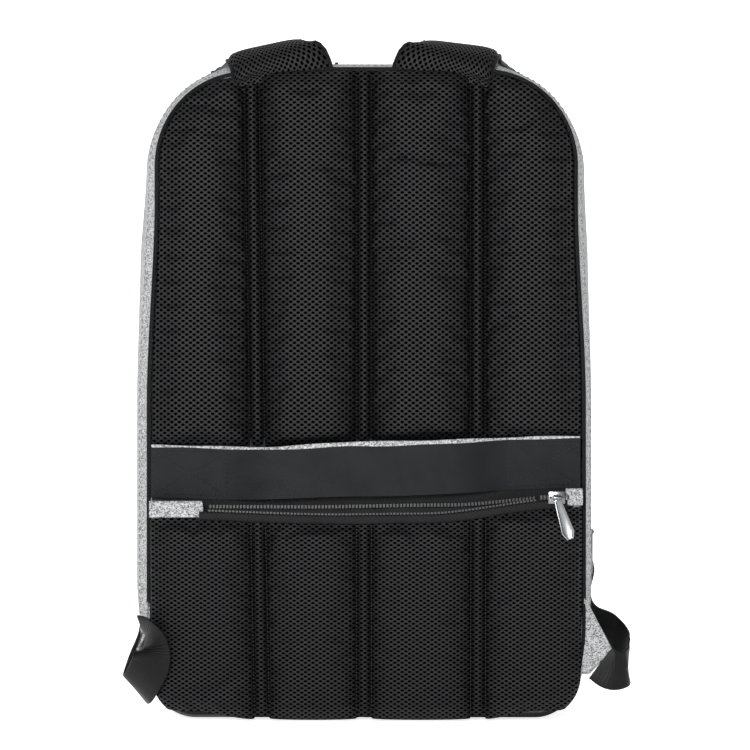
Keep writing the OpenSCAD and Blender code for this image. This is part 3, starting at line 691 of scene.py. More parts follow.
def part_at(u):
    """Which channel or rib a column is in, and how far across it."""
    column = u * sum(PARTS)
    for k, count in enumerate(PARTS):
        if column <= count + 1e-6 or k == 6:
            return k, min(column / count, 1.0)
        column -= count


def pad_point(u, z, edge, rise, plane, end):
    """A point of a quilted pad: u across it, at height z. end is how full the channels are here."""
    k, t = part_at(u)
    sides = [edge(0, z)]
    for i in range(3):
        sides += [groove_at(i, z) - RIB, groove_at(i, z) + RIB]
    sides.append(edge(1, z))
    sides[0], sides[7] = min(sides[0], sides[1] - 2), max(sides[7], sides[6] + 2)
    a, b = sides[k], sides[k + 1]
    if k % 2:
        swell = 3.0 * (1 - (2 * t - 1) ** 2) * end - 1.4
        return Vector((a + (b - a) * t, plane(z) - swell, z))
    t = 0.5 - 0.5 * math.cos(math.pi * t) * (0.75 + 0.25 * abs(math.cos(math.pi * t)))
    c = 2 * t - 1
    room = min(1.0, (b - a) / 60) ** 0.7
    near = min(t, 1 - t) * (b - a)
    gather = 0.55 * math.sin(z * 0.71 + k * 1.9 + (2.1 if t > 0.5 else 0)) * math.exp(-near / 7) \
        + 0.3 * math.sin(z * 0.37 + 5 * k) * math.exp(-near / 10)
    swell = rise * room * end * max(1 - abs(c) ** 3.4, 0) ** 0.7 - 1.2 + gather * min(near, 1) * end
    return Vector((a + (b - a) * t, plane(z) - swell, z))


UPPER_END = TOP - 7.4                              # where the top corners start


def upper_top(x):
    return TOP - inset(x, TOP)


BAND_TOP = [(-154, 197.0), (-75, 195.4), (0, 198.8), (155, 203.4)]
BAND_LOW = [(-154, 160.4), (-98, 158.8), (0, 161.5), (155, 167.0)]
RIM_Z = [(-154, 148.6), (-20, 145.0), (40, 145.6), (146, 156.5)]


def upper_place(u, v):
    low = 196.6
    z = low + (UPPER_END - low) * v
    end = (eased(min((z - low) / 9, 1)) ** 0.6) * (eased(min((UPPER_END - z) / 12, 1)) ** 0.5 * 0.7 + 0.3)
    point = pad_point(u, z, upper_edge, UPPER_RISE, lambda z: SEAM_Y, end)
    lift = (upper_top(point.x) - UPPER_END) * eased((z - 380) / 82) * (abs(point.x) < 97)
    drop = (heights(BAND_TOP, point.x) - low + 0.4) * (1 - eased((z - low) / 90))
    return Vector((point.x, point.y, point.z + lift + drop))


def is_rib(co):
    return any(abs(co.x - groove_at(i, co.z)) < RIB + 0.7 for i in range(3))


def upper_sewn(co):
    side = min(co.x - upper_edge(0, co.z), upper_edge(1, co.z) - co.x)
    return is_rib(co) or side < 2.5 or co.z > upper_top(co.x) - 5 or co.z < heights(BAND_TOP, co.x) + 3


quilted("upper_back_pad", grid(sum(PARTS), 76, upper_place), back_mesh, "air_mesh", "bag",
                    ["upper_mesh_pad", "upper_foam_strips"], upper_sewn, UPPER_AIR,
                    lambda co: Vector((co.x, -60.6, co.z)))

TILT = math.tan(math.radians(5.1))


def pouch_plane(z):
    """Front of the pocket's pouch, which leans out towards its mouth."""
    return -63.4 - (z - 6.6) * TILT


def lower_place(u, v):
    k, t = part_at(u)
    scallop = 1.6 * (1 - max(math.sin(math.pi * t), 0) ** 0.5) if k % 2 == 0 else 1.9
    x_now = -153 + 308 * u
    low = 1.0 + scallop + 6.5 * eased((abs(x_now) - 96) / 36) ** 1.3
    high = heights(RIM_Z, x_now) - 2.6
    z = low + (high - low) * v
    end = eased(min((z - low) / 12, 1)) ** 0.6 * 0.9 + 0.1
    end *= eased(min((high - z) / 12, 1)) ** 0.7 * 0.75 + 0.25
    return pad_point(u, z, lower_edge, LOWER_RISE, lambda z: pouch_plane(z) - 1.4, end)


def lower_sewn(co):
    side = min(co.x - lower_edge(0, co.z), lower_edge(1, co.z) - co.x)
    return is_rib(co) or side < 2.5 or co.z > heights(RIM_Z, co.x) - 6 or co.z < 8


quilted("lower_back_pad", grid(sum(PARTS), 44, lower_place), pocket_mesh, "air_mesh", "bag",
                    ["lower_mesh_pad", "lower_foam_strips"], lower_sewn, LOWER_AIR,
                    lambda co: Vector((co.x, pouch_plane(co.z) - 0.2, co.z)))

quilting = bmesh.new()
for i in range(3):
    for edge in (-1, 1):
        def seam(s):
            z = 199 + 265 * s
            return Vector((groove_at(i, z) + edge * (RIB + 0.1), SEAM_Y - 0.15, z))
        stitches(quilting, seam, 265, 2.4, 0.4)

        def pocket_seam(s):
            z = 8 + (heights(RIM_Z, GROOVES[i]) - 14) * s
            return Vector((groove_at(i, z) + edge * (RIB + 0.1), pouch_plane(z) - 1.55, z))
        stitches(quilting, pocket_seam, 132, 2.4, 0.4)
piece("channel_stitching", quilting, dark_thread, "air_mesh", "bag")


def welt(out, y, radius, far0, far1, turns=420):
    """A cord of piping round the outline."""
    def place(u, v):
        far = far0 + (far1 - far0) * v
        x, z, _, _ = rim(far)
        a = u * math.tau
        return on_rim(far, y - radius * math.cos(a), out - inset(x, z) + radius * math.sin(a))
    return capped(grid(8, turns, place, closed=True))


piping = piece("double_piping", join(welt(2.2, -61.4, 0.8, 0, AROUND), welt(0.8, -62.2, 0.8, 0, AROUND)),
               seam_tape, "black_twill", "bag", "back_seam_piping")

# ---------------------------------------------------------------- luggage band

def band_y(x):
    """The band stands clear of the back between its two sewn ends."""
    return -64.2 - 10.0 * (1 - eased((abs(x) - 62) / 44))


def band_place(u, v):
    x = -153.4 + 307.6 * u
    low, high = heights(BAND_LOW, x), heights(BAND_TOP, x)
    sag = 0.5 * math.sin(x / 21) * math.sin(math.pi * v)
    return Vector((x, band_y(x) + sag, low + (high - low) * v))


def outer_face(net):
    """Turns a net so that it faces the wearer."""
    face_outwards(net)
    if sum(f.normal.y * f.calc_area() for f in net.faces) > 0:
        bmesh.ops.reverse_faces(net, faces=net.faces)
    return net


def area(net):
    return sum(f.calc_area() for f in net.faces) * MM * MM


def cloth_sheet(name, net, depth, material, slot, body, nodes):
    """A single sheet of cloth, depth mm thick behind its face."""
    size = area(outer_face(net))
    made = piece(name, backed(net, depth), material, slot, body, *nodes)
    return made


backing_net = grid(60, 8, lambda u, v: Vector((-153 + 307 * u, -61.3, 158 + 44 * v)))
piece("sleeve_back_cloth", thicken(outer_face(backing_net), 0.9), lining_cloth, "black_twill", "bag",
                     "sleeve_backing")
luggage_band = cloth_sheet("luggage_band_cloth", grid(140, 14, band_place), 1.3, twill, "black_twill", "bag",
                           ["luggage_band"])


def band_edge(s):
    x = -153.0 + 306.8 * s
    return Vector((x, band_y(x) - 0.2, heights(BAND_TOP, x) + 0.2))


def turned_edge(u, v):
    point = band_edge(v)
    wide = 0.9 + 0.9 * math.exp(-((point.x - 10) / 70) ** 2) + 0.25 * math.sin(point.x / 9)
    a, b = rounded(u, wide, 1.1, 0.6)
    return point + Vector((0, -b, a))


piece("luggage_band_edge", capped(grid(10, 220, turned_edge, closed=True)), melange_edge, "melange_fabric",
      "bag", "luggage_band_trim")

crosses = bmesh.new()
for x0, x1 in ((-151.5, -99.5), (102.5, 153)):
    def on_band(x, share):
        low, high = heights(BAND_LOW, x), heights(BAND_TOP, x)
        return Vector((x, band_y(x) - 0.25, low + 3 + (high - low - 7) * share))
    for a, b in (((x0, 0), (x1, 0)), ((x0, 1), (x1, 1)), ((x0, 0), (x0, 1)), ((x1, 0), (x1, 1)),
                 ((x0, 0), (x1, 1)), ((x0, 1), (x1, 0))):
        length = math.hypot(b[0] - a[0], 30 * (b[1] - a[1]))
        stitches(crosses, lambda s: on_band(a[0] + (b[0] - a[0]) * s, a[1] + (b[1] - a[1]) * s), length,
                 3.1, 0.55)
piece("band_cross_stitching", crosses, dark_thread, "black_twill", "bag")

# ---------------------------------------------------------------- back pocket and its zip

POUCH_LOW = 10


def pouch_x(u, z):
    """The pouch lies 6 mm inside the lower pad's edge."""
    return lower_edge(0, z) + 6 + (lower_edge(1, z) - lower_edge(0, z) - 12) * u


def pouch_front(u, v):
    z = POUCH_LOW + (heights(RIM_Z, -148 + 294 * u) + 1.5 - POUCH_LOW) * v
    x = pouch_x(u, z)
    return Vector((x, pouch_plane(z) + 0.5 + 0.3 * math.sin(x / 17) * v, z))


def pouch_back(u, v):
    z = POUCH_LOW + 150 * v
    return Vector((pouch_x(u, z), -60.6 + 0.2 * math.sin(u * 40), z))


pouch = backed(outer_face(grid(60, 20, pouch_front)), 1.0)
join(pouch, backed(outer_face(grid(60, 16, pouch_back)), 0.8))
for side in (0, 1):                                # the pouch's two cheeks
    def cheek(u, v):
        z = POUCH_LOW + 138 * v
        return Vector((pouch_x(side, z), -61.0 + (pouch_plane(z) + 61.2) * u, z))
    join(pouch, thicken(grid(8, 16, cheek), 0.8))
face_outwards(pouch)
piece("back_pocket_lining", pouch, lining_cloth, "lining", "bag", "pocket_pouch")


def tape_low(x):
    return heights([(-132, 152.8), (-40, 152.6), (60, 154.0), (146, 160.0)], x)


def tape_high(x):
    return heights(BAND_LOW, x) + 1.5


def upper_tape(u, v):
    x = -146 + 292 * u
    return Vector((x, -62.6, tape_low(x) + (tape_high(x) - tape_low(x)) * v))


piece("pocket_zip_tape", backed(outer_face(grid(90, 4, upper_tape)), 0.8), zip_cloth, "zip_tape", "bag",
      "pocket_zip_upper_tape")


def rim_line(x):
    """Middle of the bound rim, which sags between the zip's two ends."""
    z = heights(RIM_Z, x)
    return Vector((x, pouch_plane(z) - 2.2, z))


def binding(u, v):
    a, b = rounded(u, 3.3, 2.3, 0.55)
    return rim_line(-118 + 262 * v) + Vector((0, -b, a))


piece("pocket_rim_tape", capped(grid(14, 180, binding, closed=True)), seam_tape, "black_twill", "bag",
      "pocket_rim_binding")

def block(net, x0, x1, y0, y1, z0, z1):
    bmesh.ops.create_cube(net, size=1, matrix=Matrix.Translation(((x0 + x1) / 2, (y0 + y1) / 2,
                                                                  (z0 + z1) / 2))
                          @ Matrix.Diagonal((x1 - x0, y1 - y0, z1 - z0, 1)))


def coil_turn(lot, i):
    x = -112 + 234 * (i + 0.5) / 96                # one each 2.4 mm, coarser than a real coil
    low, high = rim_line(x), tape_low(x)
    block(lot, x - 0.75, x + 0.75, low.y - 1.0, low.y + 1.4, low.z + 2.9, low.z + 4.5)
    block(lot, x - 0.75, x + 0.75, -64.7, -63.1, high - 0.2, high + 2.2)


coil = repeated(bmesh.new(), 96, coil_turn)
for i in range(9):
    block(coil, 124.5 + 2.4 * i, 126 + 2.4 * i, -82.2, -81.0, 159.5, 162.5)
piece("pocket_zip_teeth", coil, coil_black, "zip_coil", "bag", "pocket_zip_coil")


def tab(x0, x1, low, high, y_mid, bulge, lean=0.0, depth=2.2):
    """A folded cloth tab over an end of the zip."""
    def place(u, v):
        a, b = rounded(u, (high - low) / 2, depth, 0.4)
        x = x0 + (x1 - x0) * v + bulge * (1 - (a * 2 / (high - low)) ** 2) * v
        return Vector((x, y_mid - b, (low + high) / 2 + a + lean * (x - x0)))
    return capped(grid(24, 24, place, closed=True))


piece("pocket_zip_tabs", join(tab(-153.6, -116.4, 146.6, 158.4, -77.6, 1.2),
                                         tab(142.8, 154.6, 155.2, 167.4, -78.6, 0.4)),
                 grey_melange, "melange_fabric", "bag", "pocket_zip_end_tabs")
cheeks = bmesh.new()
for x0, x1, low, high, y in ((-152.6, -117.5, 148, 157.5, -76.6), (143.6, 153.4, 156.4, 166.2, -77.6)):
    bmesh.ops.create_cube(cheeks, size=1, matrix=Matrix.Translation(((x0 + x1) / 2, (y - 62) / 2,
                                                                     (low + high) / 2))
                          @ Matrix.Diagonal((x1 - x0, -62 - y, high - low, 1)))
rounded_off(cheeks, cheeks.edges[:], 1.2, 2)
piece("pocket_zip_tab_backs", cheeks, lining_cloth, "lining", "bag")

# ---------------------------------------------------------------- zip sliders
# x runs along the coil, and z out of the cloth

SLIDER_L, SLIDER_W, BAIL_Z, BAIL_R, BAIL_HALF = 12.0, 9.0, 6.2, 0.8, 3.4


def slider_body(long, wide, turned):
    """Two plates with rolled flanges, and the bail's arch."""
    net = bmesh.new()
    block(net, -long / 2, long / 2, -wide / 2, wide / 2, 2.5, 4.0)
    for s in (-1, 1):
        if turned:
            block(net, s * (long / 2 - 0.75) - 0.75, s * (long / 2 - 0.75) + 0.75,
                  -wide / 2 + 0.8, wide / 2 - 0.8, 0.4, 2.6)
        else:
            block(net, -long / 2 + 0.8, long / 2 - 0.8, s * (wide / 2 - 0.75) - 0.75,
                  s * (wide / 2 - 0.75) + 0.75,
                  0.4, 2.6)
    rounded_off(net, net.edges[:], 0.55, 3)
    far = BAIL_HALF + 0.7
    arch = Route([(-far, 0, 3.4), (-far, 0, 5.0), (-far + 0.6, 0, BAIL_Z - 0.05), (-far + 1.4, 0, BAIL_Z),
                  (far - 1.4, 0, BAIL_Z), (far - 0.6, 0, BAIL_Z - 0.05), (far, 0, 5.0), (far, 0, 3.4)],
                 [(0, 1, 0)] * 8)
    return join(net, bar(arch, lambda u, v: rounded(u, BAIL_R, BAIL_R, 1.0), 12, 40))


def pull_tab(lean, long=31.0):
    """A six-sided plate with a raised border, hung from the bail by a rolled eye."""
    plate = bmesh.new()
    outline = [(-2.6, -1.4), (-4.6, -long + 5), (-2.4, -long), (2.4, -long), (4.6, -long + 5), (2.6, -1.4)]
    face = plate.faces.new([plate.verts.new((x, y, 0.9)) for x, y in outline])
    drawn = bmesh.ops.extrude_face_region(plate, geom=[face])["geom"]
    bmesh.ops.translate(plate, vec=(0, 0, -1.8),
                        verts=[g for g in drawn if isinstance(g, bmesh.types.BMVert)])
    face_outwards(plate)
    faces = [f for f in plate.faces if abs(f.normal.z) > 0.9]
    bmesh.ops.inset_region(plate, faces=faces, thickness=1.0, depth=0.0, use_even_offset=True)
    bmesh.ops.inset_region(plate, faces=faces, thickness=0.35, depth=-0.45, use_even_offset=True)
    sharp = [e for e in plate.edges if e.calc_face_angle(0) > 0.5]
    rounded_off(plate, sharp, 0.18, 2)
    bmesh.ops.rotate(plate, verts=plate.verts, cent=(0, 0, 0),
                     matrix=Matrix.Rotation(math.radians(lean), 3, "Z"))

    def eye(u, v):
        a, b = rounded(v, 2.6, 0.55, 0.5)
        turn = u * math.tau
        return Vector((a, (1.52 + b) * math.cos(turn), (1.52 + b) * math.sin(turn)))
    ring = grid(28, 14, eye, closed=True)
    face_outwards(ring)
    join(plate, ring)
    bmesh.ops.translate(plate, vec=(0, 0, BAIL_Z), verts=plate.verts)
    return plate


def set_down(net, matrix):
    bmesh.ops.transform(net, matrix=matrix, verts=net.verts)
    face_outwards(net)
    return net


at_pocket = Matrix.Translation((136, -82.2, 161)) @ Matrix.Rotation(math.radians(90), 4, "X")
at_main = (Matrix.Translation((HALF + 0.1, ZIP_Y, 132)) @ Matrix.Rotation(math.pi, 4, "Z")
           @ Matrix.Rotation(-math.pi / 2, 4, "Y") @ Matrix.Rotation(-math.pi / 2, 4, "Z"))
pocket_slider = piece("pocket_slider_body", set_down(slider_body(SLIDER_L, SLIDER_W, False), at_pocket),
                      nickel,
                      "zip_metal", "pocket_zip_slider", "pocket_slider", angle=30)
pocket_pull = piece("pocket_pull_tab", set_down(pull_tab(18), at_pocket), nickel, "zip_metal",
                    "pocket_zip_pull",
                    "pocket_pull", angle=30)
main_slider = piece("main_slider_body", set_down(slider_body(SLIDER_W, SLIDER_L, True), at_main), nickel,
                    "zip_metal", "main_zip_slider", "main_slider", angle=30)
main_pull = piece("main_pull_tab", set_down(pull_tab(0), at_main), nickel, "zip_metal", "main_zip_pull",
                  "main_pull",
                  angle=30)

# ---------------------------------------------------------------- shoulder straps

FRONT_Y = 64.0
STRAP_T = 9.0
STRAP_Y = FRONT_Y + STRAP_T / 2 + 2
SIDES = {"left": -1, "right": 1}
# the first five stations and slopes: the two straps lie differently
STRAP_ROOT = {
    "left": ([(61, -60.8, 460), (62.5, -60.4, 467), (66.5, -57.5, 475), (69.5, -50.5, 479.6),
              (70, -20, 479.4)],
             (-0.09, -0.12, -0.2, -0.21, -0.2)),
    "right": ([(57.5, -60.8, 460), (59, -60.4, 467), (63, -57.5, 475.5), (66, -50.5, 480.4),
               (69, -20, 480.4)],
              (-0.09, -0.1, -0.12, -0.12, -0.14))}
STRAP_ON = [(76, 15, 481), (82, 48, 480), (85, 65, 477.5), (87, 73.5, 467), (90, STRAP_Y + 0.6, 450),
            (100, STRAP_Y, 420), (114, STRAP_Y, 388), (120, STRAP_Y, 350), (122, STRAP_Y, 300),
            (123, STRAP_Y, 200)]
STRAP_AIM = [(1, 0, -0.2), (1, -0.02, -0.22), (1, -0.05, -0.18), (1, 0, -0.1), (1, 0, 0.2), (1, 0, 0.5),
             (1, 0, 0.4),
             (1, 0, 0.15), (1, 0, 0), (1, 0, 0)]
STRAP_W = [(0, 76), (0.012, 74), (0.05, 59), (0.4, 60), (0.75, 56), (1, 54)]


def swell(share):
    """A strap is thin at its two seams."""
    return (0.35 + 0.65 * eased(share / 0.035)) * (0.45 + 0.55 * eased((1 - share) / 0.03))


def strap_half(route, up, thick):
    """Half of a strap: a crowned face, and the flat seam plane behind it."""
    def section(u, share):
        half = heights(STRAP_W, share) / 2
        ripple = 0.25 * math.sin(share * route.length / 5.5)
        if u <= 0.5:
            c = 4 * u - 1
            full = thick * swell(share) * max(1 - abs(c) ** 5, 0) ** 0.55
            edge = ripple * math.exp(-half * (1 - abs(c)) / 4)
            return c * half, up * (0.15 + full + edge * (1 - abs(c)) * 2)
        return (3 - 4 * u) * half, up * 0.15
    return bar(route, section, 44, 150, 70)


straps = {}
for side, sign in SIDES.items():
    root, slopes = STRAP_ROOT[side]
    aims = [(1, 0, s) for s in slopes] + STRAP_AIM
    stations = root + STRAP_ON
    route = Route([(sign * x, y, z) for x, y, z in stations], [(a, b, sign * c) for a, b, c in aims])
    face = piece(side + "_strap_pad", strap_half(route, -1, 5.4), strap_mesh, "air_mesh", None,
                 side + "_strap_mesh", side + "_strap_foam")
    under = piece(side + "_strap_underside", strap_half(route, 1, 3.4), grey_melange, "melange_fabric", None,
                  side + "_strap_cover")
    cord, sewing = bmesh.new(), bmesh.new()
    for edge in (-1, 1):
        def cord_section(u, share):
            a, b = rounded(u, 1.5, 1.5, 1.0)
            return a + edge * (heights(STRAP_W, share) / 2 + 0.2), b
        join(cord, bar(route, cord_section, 8, 150, 5))

        def seam(s):
            middle, wide, face_way = route.at(0.05 + 0.93 * s)
            half = heights(STRAP_W, 0.05 + 0.93 * s) / 2
            c = (half - 4.5) / half
            return middle + wide * edge * (half - 4.5) - face_way * (0.2 + 5.4 * (1 - c ** 5) ** 0.55)
        stitches(sewing, seam, route.length * 0.93, 3.2, 0.35)
    edging = piece(side + "_strap_piping", cord, seam_tape, "black_twill", None)
    stitching = piece(side + "_strap_stitching", sewing, dark_thread, "air_mesh", None)
    straps[side] = [face, under, edging, stitching]
    for part in straps[side]:
        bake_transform(part)

# ---------------------------------------------------------------- webbing, tabs and buckles

WEBBING_HALF, WEBBING_T = 14.0, 1.6
LOW_START = [(123, FRONT_Y + 5.4, 172), (123, FRONT_Y + 3.6, 158), (124.5, FRONT_Y + 3.8, 147),
             (142, FRONT_Y + 5.5, 124), (158, FRONT_Y + 6, 106)]
LOW_AIM = [(1, 0, 0), (1, 0, 0), (1, 0, 0.25), (0.8, 0, 0.65), (0.5, 0, 0.9)]
WEBBING_AT = {
    "right": (LOW_START + [(166, 55, 90), (166, 25, 74), (168.5, -10, 65), (180, -36, 60), (188, -53, 47),
                           (186.5, -63.5, 38.5), (177, -66.5, 36.5), (168.5, -64.5, 42)],
              LOW_AIM + [(0.2, 0, 1), (0, 0.1, 1), (0, 0.15, 1), (0, 0.1, 1), (0.02, 0, 1), (0.1, 0, 1),
                         (0.3, 0, 1), (0.72, 0, 0.7)]),
    "left": (LOW_START + [(165.5, 56, 90), (166, 25, 68), (166, -10, 46), (167, -42, 30), (163.5, -62, 23),
                          (157.5, -73, 32), (152, -79, 44), (151, -79.5, 54), (155, -74.5, 62),
                           (159, -68, 66)],
             LOW_AIM + [(0.2, 0, 1), (0, 0, 1), (0, 0, 1), (0.3, 0, 0.95), (0.69, 0, 0.72),
                        (0.74, 0.05, 0.67),
                        (0.9, 0.2, 0.35), (0.85, 0.5, -0.1), (0.5, 0.85, -0.2), (0.2, 0.95, -0.2)])}


def webbing_section(u, share):
    a, b = rounded(u, WEBBING_HALF, WEBBING_T / 2, 0.3)
    return a, b + 0.5 * math.sin(share * 9) * (a / WEBBING_HALF) ** 2


for side, sign in SIDES.items():
    stations, aims = WEBBING_AT[side]
    route = Route([(sign * x, y, z) for x, y, z in stations], [(sign * x, y, z) for x, y, z in aims])
    web = piece(side + "_adjusting_webbing", bar(route, webbing_section, 20, 170, WEBBING_HALF), belt,
                "webbing",
                None, side + "_webbing")
    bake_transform(web)

    loop = Route([(sign * 123, FRONT_Y + 5.6, 197), (sign * 123, FRONT_Y + 7.4, 193),
                  (sign * 123, FRONT_Y + 8.6, 188),
                  (sign * 123, FRONT_Y + 8.2, 183), (sign * 123, FRONT_Y + 5.3, 181.7),
                  (sign * 123, FRONT_Y + 2.3, 183), (sign * 123, FRONT_Y + 2.0, 188),
                  (sign * 123, FRONT_Y + 3.2, 193),
                  (sign * 123, FRONT_Y + 5.2, 199)], [(1, 0, 0)] * 9)
    ends = bar(loop, lambda u, v: rounded(u, 13, 0.7, 0.3), 16, 60, 13)
    tail = Route([(sign * 123, FRONT_Y + 4.4, 175.2), (sign * 123, FRONT_Y + 8.2, 174.4),
                  (sign * 123, FRONT_Y + 10.4, 168), (sign * 123, FRONT_Y + 10.6, 150),
                  (sign * 124, FRONT_Y + 10.1, 120), (sign * 125, FRONT_Y + 8.6, 92)],
                 [(1, 0, 0), (1, 0, 0), (1, 0, 0), (1, 0, 0), (1, 0, 0.03 * sign), (1, -0.1, 0.05 * sign)])
    join(ends, bar(tail, lambda u, v: rounded(u, WEBBING_HALF - 0.2, 0.75, 0.3), 16, 80, WEBBING_HALF))
    piece(side + "_webbing_loop_and_tail", ends, belt, "webbing", side + "_strap", side + "_webbing_end")
    piece(side + "_ladder_lock", rounded_copy(side + "_buckle", 0.8, 3), acetal, "buckle_plastic",
          side + "_strap", side + "_buckle", angle=32)


def folded_tab(seam_high, seam_low, nose_high, nose_low, out):
    """Folded cloth from a side seam to its nose. out is its thin way; one edge is rolled."""
    def place(u, v):
        along = 1 - abs(2 * u - 1)
        seam, nose = Vector(seam_high).lerp(seam_low, v), Vector(nose_high).lerp(nose_low, v)
        point = seam.lerp(nose, along)
        roll = 0.9 * math.exp(-(v / 0.09) ** 2) + 0.4 * math.exp(-((1 - v) / 0.06) ** 2)
        flat = min(1.0, (1 - along) / 0.06 + 0.02, v / 0.04 + 0.02, (1 - v) / 0.04 + 0.02) ** 0.5
        return point + Vector(out) * (1 if u < 0.5 else -1) * (1.0 + roll) * flat
    net = grid(48, 36, place)
    bmesh.ops.remove_doubles(net, verts=net.verts, dist=0.08)
    return capped(net)


piece("right_seam_tab", folded_tab((156.5, -60.5, 91), (152.5, -60.5, 33), (177.5, -63.5, 51),
                                                (161, -62.5, 34), (0, 1, 0)),
                   grey_melange, "melange_fabric", "bag", "right_tab")
piece("left_seam_tab", folded_tab((-155.5, -61.5, 87), (-160.5, -55, 43), (-155.0, -74, 65),
                                              (-163, -66, 52), (1, -0.25, 0)),
                  grey_melange, "melange_fabric", "bag", "left_tab")

# ---------------------------------------------------------------- carry handle

HANDLE = Route([(-27, 5.4, 474.8), (-27, 20, 474.8), (-27, 38, 474.8), (-25.5, 45.5, 474.8), (-20, 50, 474.8),
                (-10, 51, 475.1), (0, 51, 475.2), (10, 51, 475.1), (20, 50, 474.8), (25.5, 45.5, 474.8),
                (27, 38, 474.8), (27, 20, 474.8), (27, 5.4, 474.8)], [(0, 0, 1)] * 13)


def handle_section(u, share):
    fat = eased((share - 0.24) / 0.1) * eased((0.76 - share) / 0.1)
    return rounded(u, 1.9 + 1.4 * fat, 2.1 + 1.2 * fat, 0.7)


handle = piece("padded_carry_handle", bar(HANDLE, handle_section, 20, 120, 6), twill, "black_twill", "handle",
               "carry_handle")
piece("handle_patch", rounded_copy("handle_anchor", 0.35, 2), twill, "black_twill", "bag", "handle_anchor")
piece("strap_seam_patches", rounded_copy("strap_anchors", 0.4, 2), twill, "black_twill", "bag",
                "strap_anchors")

# ---------------------------------------------------------------- front pocket and solar flap

piece("front_pocket_cloth", rounded_copy("front_pocket", 0.9, 3), grey_melange, "melange_fabric", "bag",
             "front_pocket")
piece("flap_hinge_cloth", rounded_copy("flap_hinge_strip", 1.0, 3), grey_melange, "melange_fabric", "bag",
             "flap_hinge_strip")
low, high = (Vector(c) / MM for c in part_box("flap_board"))
FLAP_W, FLAP_Y0, FLAP_Y1, FLAP_LOW, FLAP_TOP = 168.0, low.y, high.y, low.z, high.z
board = piece("flap_cloth", rounded_copy("flap_board", 0.9, 3), grey_melange, "melange_fabric", "solar_flap",
              "flap_board")
binding_at = [(-84.6, 0, 369), (-84.6, 0, 300), (-84.6, 0, 160), (-84.6, 0, 104), (-83.2, 0, 97.2),
              (-78, 0, 93.8),
              (-60, 0, 93.4), (0, 0, 93.4), (60, 0, 93.4), (78, 0, 93.8), (83.2, 0, 97.2), (84.6, 0, 104),
              (84.6, 0, 160), (84.6, 0, 300), (84.6, 0, 369)]
flap_edge = Route([(x, FLAP_Y0 + 1.9, z) for x, _, z in binding_at], [(0, 1, 0)] * 15)
piece("flap_bound_edge", bar(flap_edge, lambda u, v: rounded(u, 1.95, 2.4, 0.45), 16, 160, 6), seam_tape,
                  "black_twill", "solar_flap", "flap_binding")
hem = bmesh.new()
for x in (-79.6, 79.6):
    stitches(hem, lambda s: Vector((x, FLAP_Y0 + 3.05, 104 + 262 * s)), 262, 3.2, 0.32)
stitches(hem, lambda s: Vector((-78 + 156 * s, FLAP_Y0 + 3.05, 98.6)), 156, 3.2, 0.32)
piece("flap_stitching", hem, dark_thread, "black_twill", "solar_flap")

for node, width, material, slot in (("controller_base", 0.5, textured_abs, "controller_plastic"),
                                    ("controller_cover", 0.5, textured_abs, "controller_plastic"),
                                    ("usb_socket", 0.12, plated_steel, "socket_steel"),
                                    ("status_lens", 0.25, clear_lens, "lens"),
                                    ("controller_screws", 0.15, plated_steel, "socket_steel")):
    piece(node + "_moulding", rounded_copy(node, width, 2), material, slot, "solar_flap", node, angle=32)

for node, width, material, slot in (("laptop_sleeve", 1.2, lining_cloth, "lining"),
                                    ("laptop_strap", 0.6, belt, "webbing")):
    made = piece(node + "_cloth", rounded_copy(node, width, 2), material, slot, "bag", node)
piece("hook_tape", rounded_copy("hook_strip", 0.06, 1), hook_tape, "webbing", "bag", "hook_strip")
piece("loop_tape", rounded_copy("loop_strip", 0.06, 1), hook_tape, "webbing", "solar_flap", "loop_strip")

for node, material in (("solar_laminate", film), ("solar_cells", cell_blue), ("cell_ribbons", tinned),
                       ("controller_board", board_green)):
    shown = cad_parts[node].data
    shown.materials.clear()
    shown.materials.append(material)

# ---------------------------------------------------------------- floor, light and camera

scene = bpy.context.scene
floor_material, tree, shader, place = start("pale floor")
cloud = noise(tree, place, 1.5, 2.0)
finish_with(tree, shader, ramp(tree, cloud, [(0.3, "f6f6f6"), (0.7, "fafafa")]), None, Roughness=0.9,
            Emission_Color=linear("ffffff"), Emission_Strength=0.8)


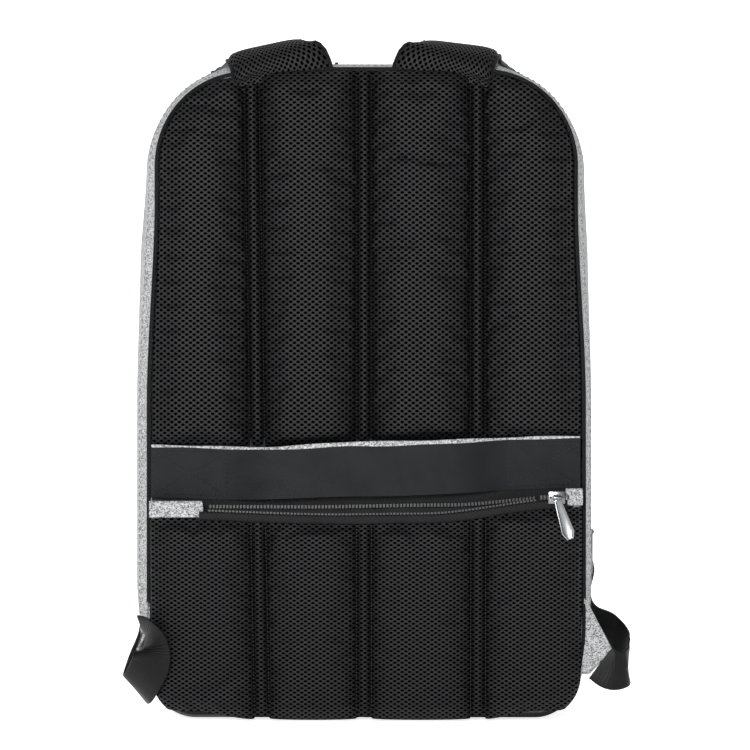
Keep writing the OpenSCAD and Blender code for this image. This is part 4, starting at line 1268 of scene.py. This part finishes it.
def floor_place(u, v):
    """Level in front, then swept up into a wall behind."""
    run = v * 9.0
    back = 2.6
    if run < 5.0:
        return Vector((-6 + 12 * u, -6 + run * (6 + back) / 5.0, 0.0))
    rise = (run - 5.0) / 4.0
    bend = min(rise, 0.4) / 0.4 * math.pi / 2
    return Vector((-6 + 12 * u, back + 1.2 * math.sin(bend),
                   1.2 * (1 - math.cos(bend)) + max(rise - 0.4, 0) * 7))


net = grid(4, 72, floor_place)
face_outwards(net)
mesh = bpy.data.meshes.new("floor")
net.to_mesh(mesh)
net.free()
mesh.polygons.foreach_set("use_smooth", [True] * len(mesh.polygons))
mesh.materials.append(floor_material)
floor = bpy.data.objects.new("floor", mesh)
scene.collection.objects.link(floor)


def lamp(name, at, aim, size, power):
    data = bpy.data.lights.new(name, "AREA")
    data.shape, data.size, data.size_y, data.energy = "RECTANGLE", size[0], size[1], power
    made = bpy.data.objects.new(name, data)
    made.location = at
    made.rotation_euler = (Vector(aim) - Vector(at)).to_track_quat("-Z", "Y").to_euler()
    scene.collection.objects.link(made)


lamp("front soft box", (-0.3, -2.7, 0.8), (0, 0, 0.25), (0.6, 0.6), 62)
lamp("left soft box", (-1.9, 0.5, 0.7), (0, 0, 0.25), (0.6, 1.2), 10)
lamp("right soft box", (1.9, 0.5, 0.7), (0, 0, 0.25), (0.6, 1.2), 8)
lamp("top light", (0, 0.3, 2.2), (0, 0, 0.3), (1.2, 0.8), 12)
world = bpy.data.worlds.new("studio")
world.use_nodes = True
world.node_tree.nodes["Background"].inputs["Color"].default_value = linear("ffffff")
world.node_tree.nodes["Background"].inputs["Strength"].default_value = 0.1
scene.world = world
scene.view_settings.view_transform = "Standard"

lens = bpy.data.cameras.new("camera")
lens.sensor_width = 36
lens.lens = 161.3
lens.dof.use_dof = False
camera = bpy.data.objects.new("camera", lens)
camera.location = (0.0071, -2.47, 0.248)
camera.rotation_euler = (math.pi / 2, 0, 0)
scene.collection.objects.link(camera)
scene.camera = camera
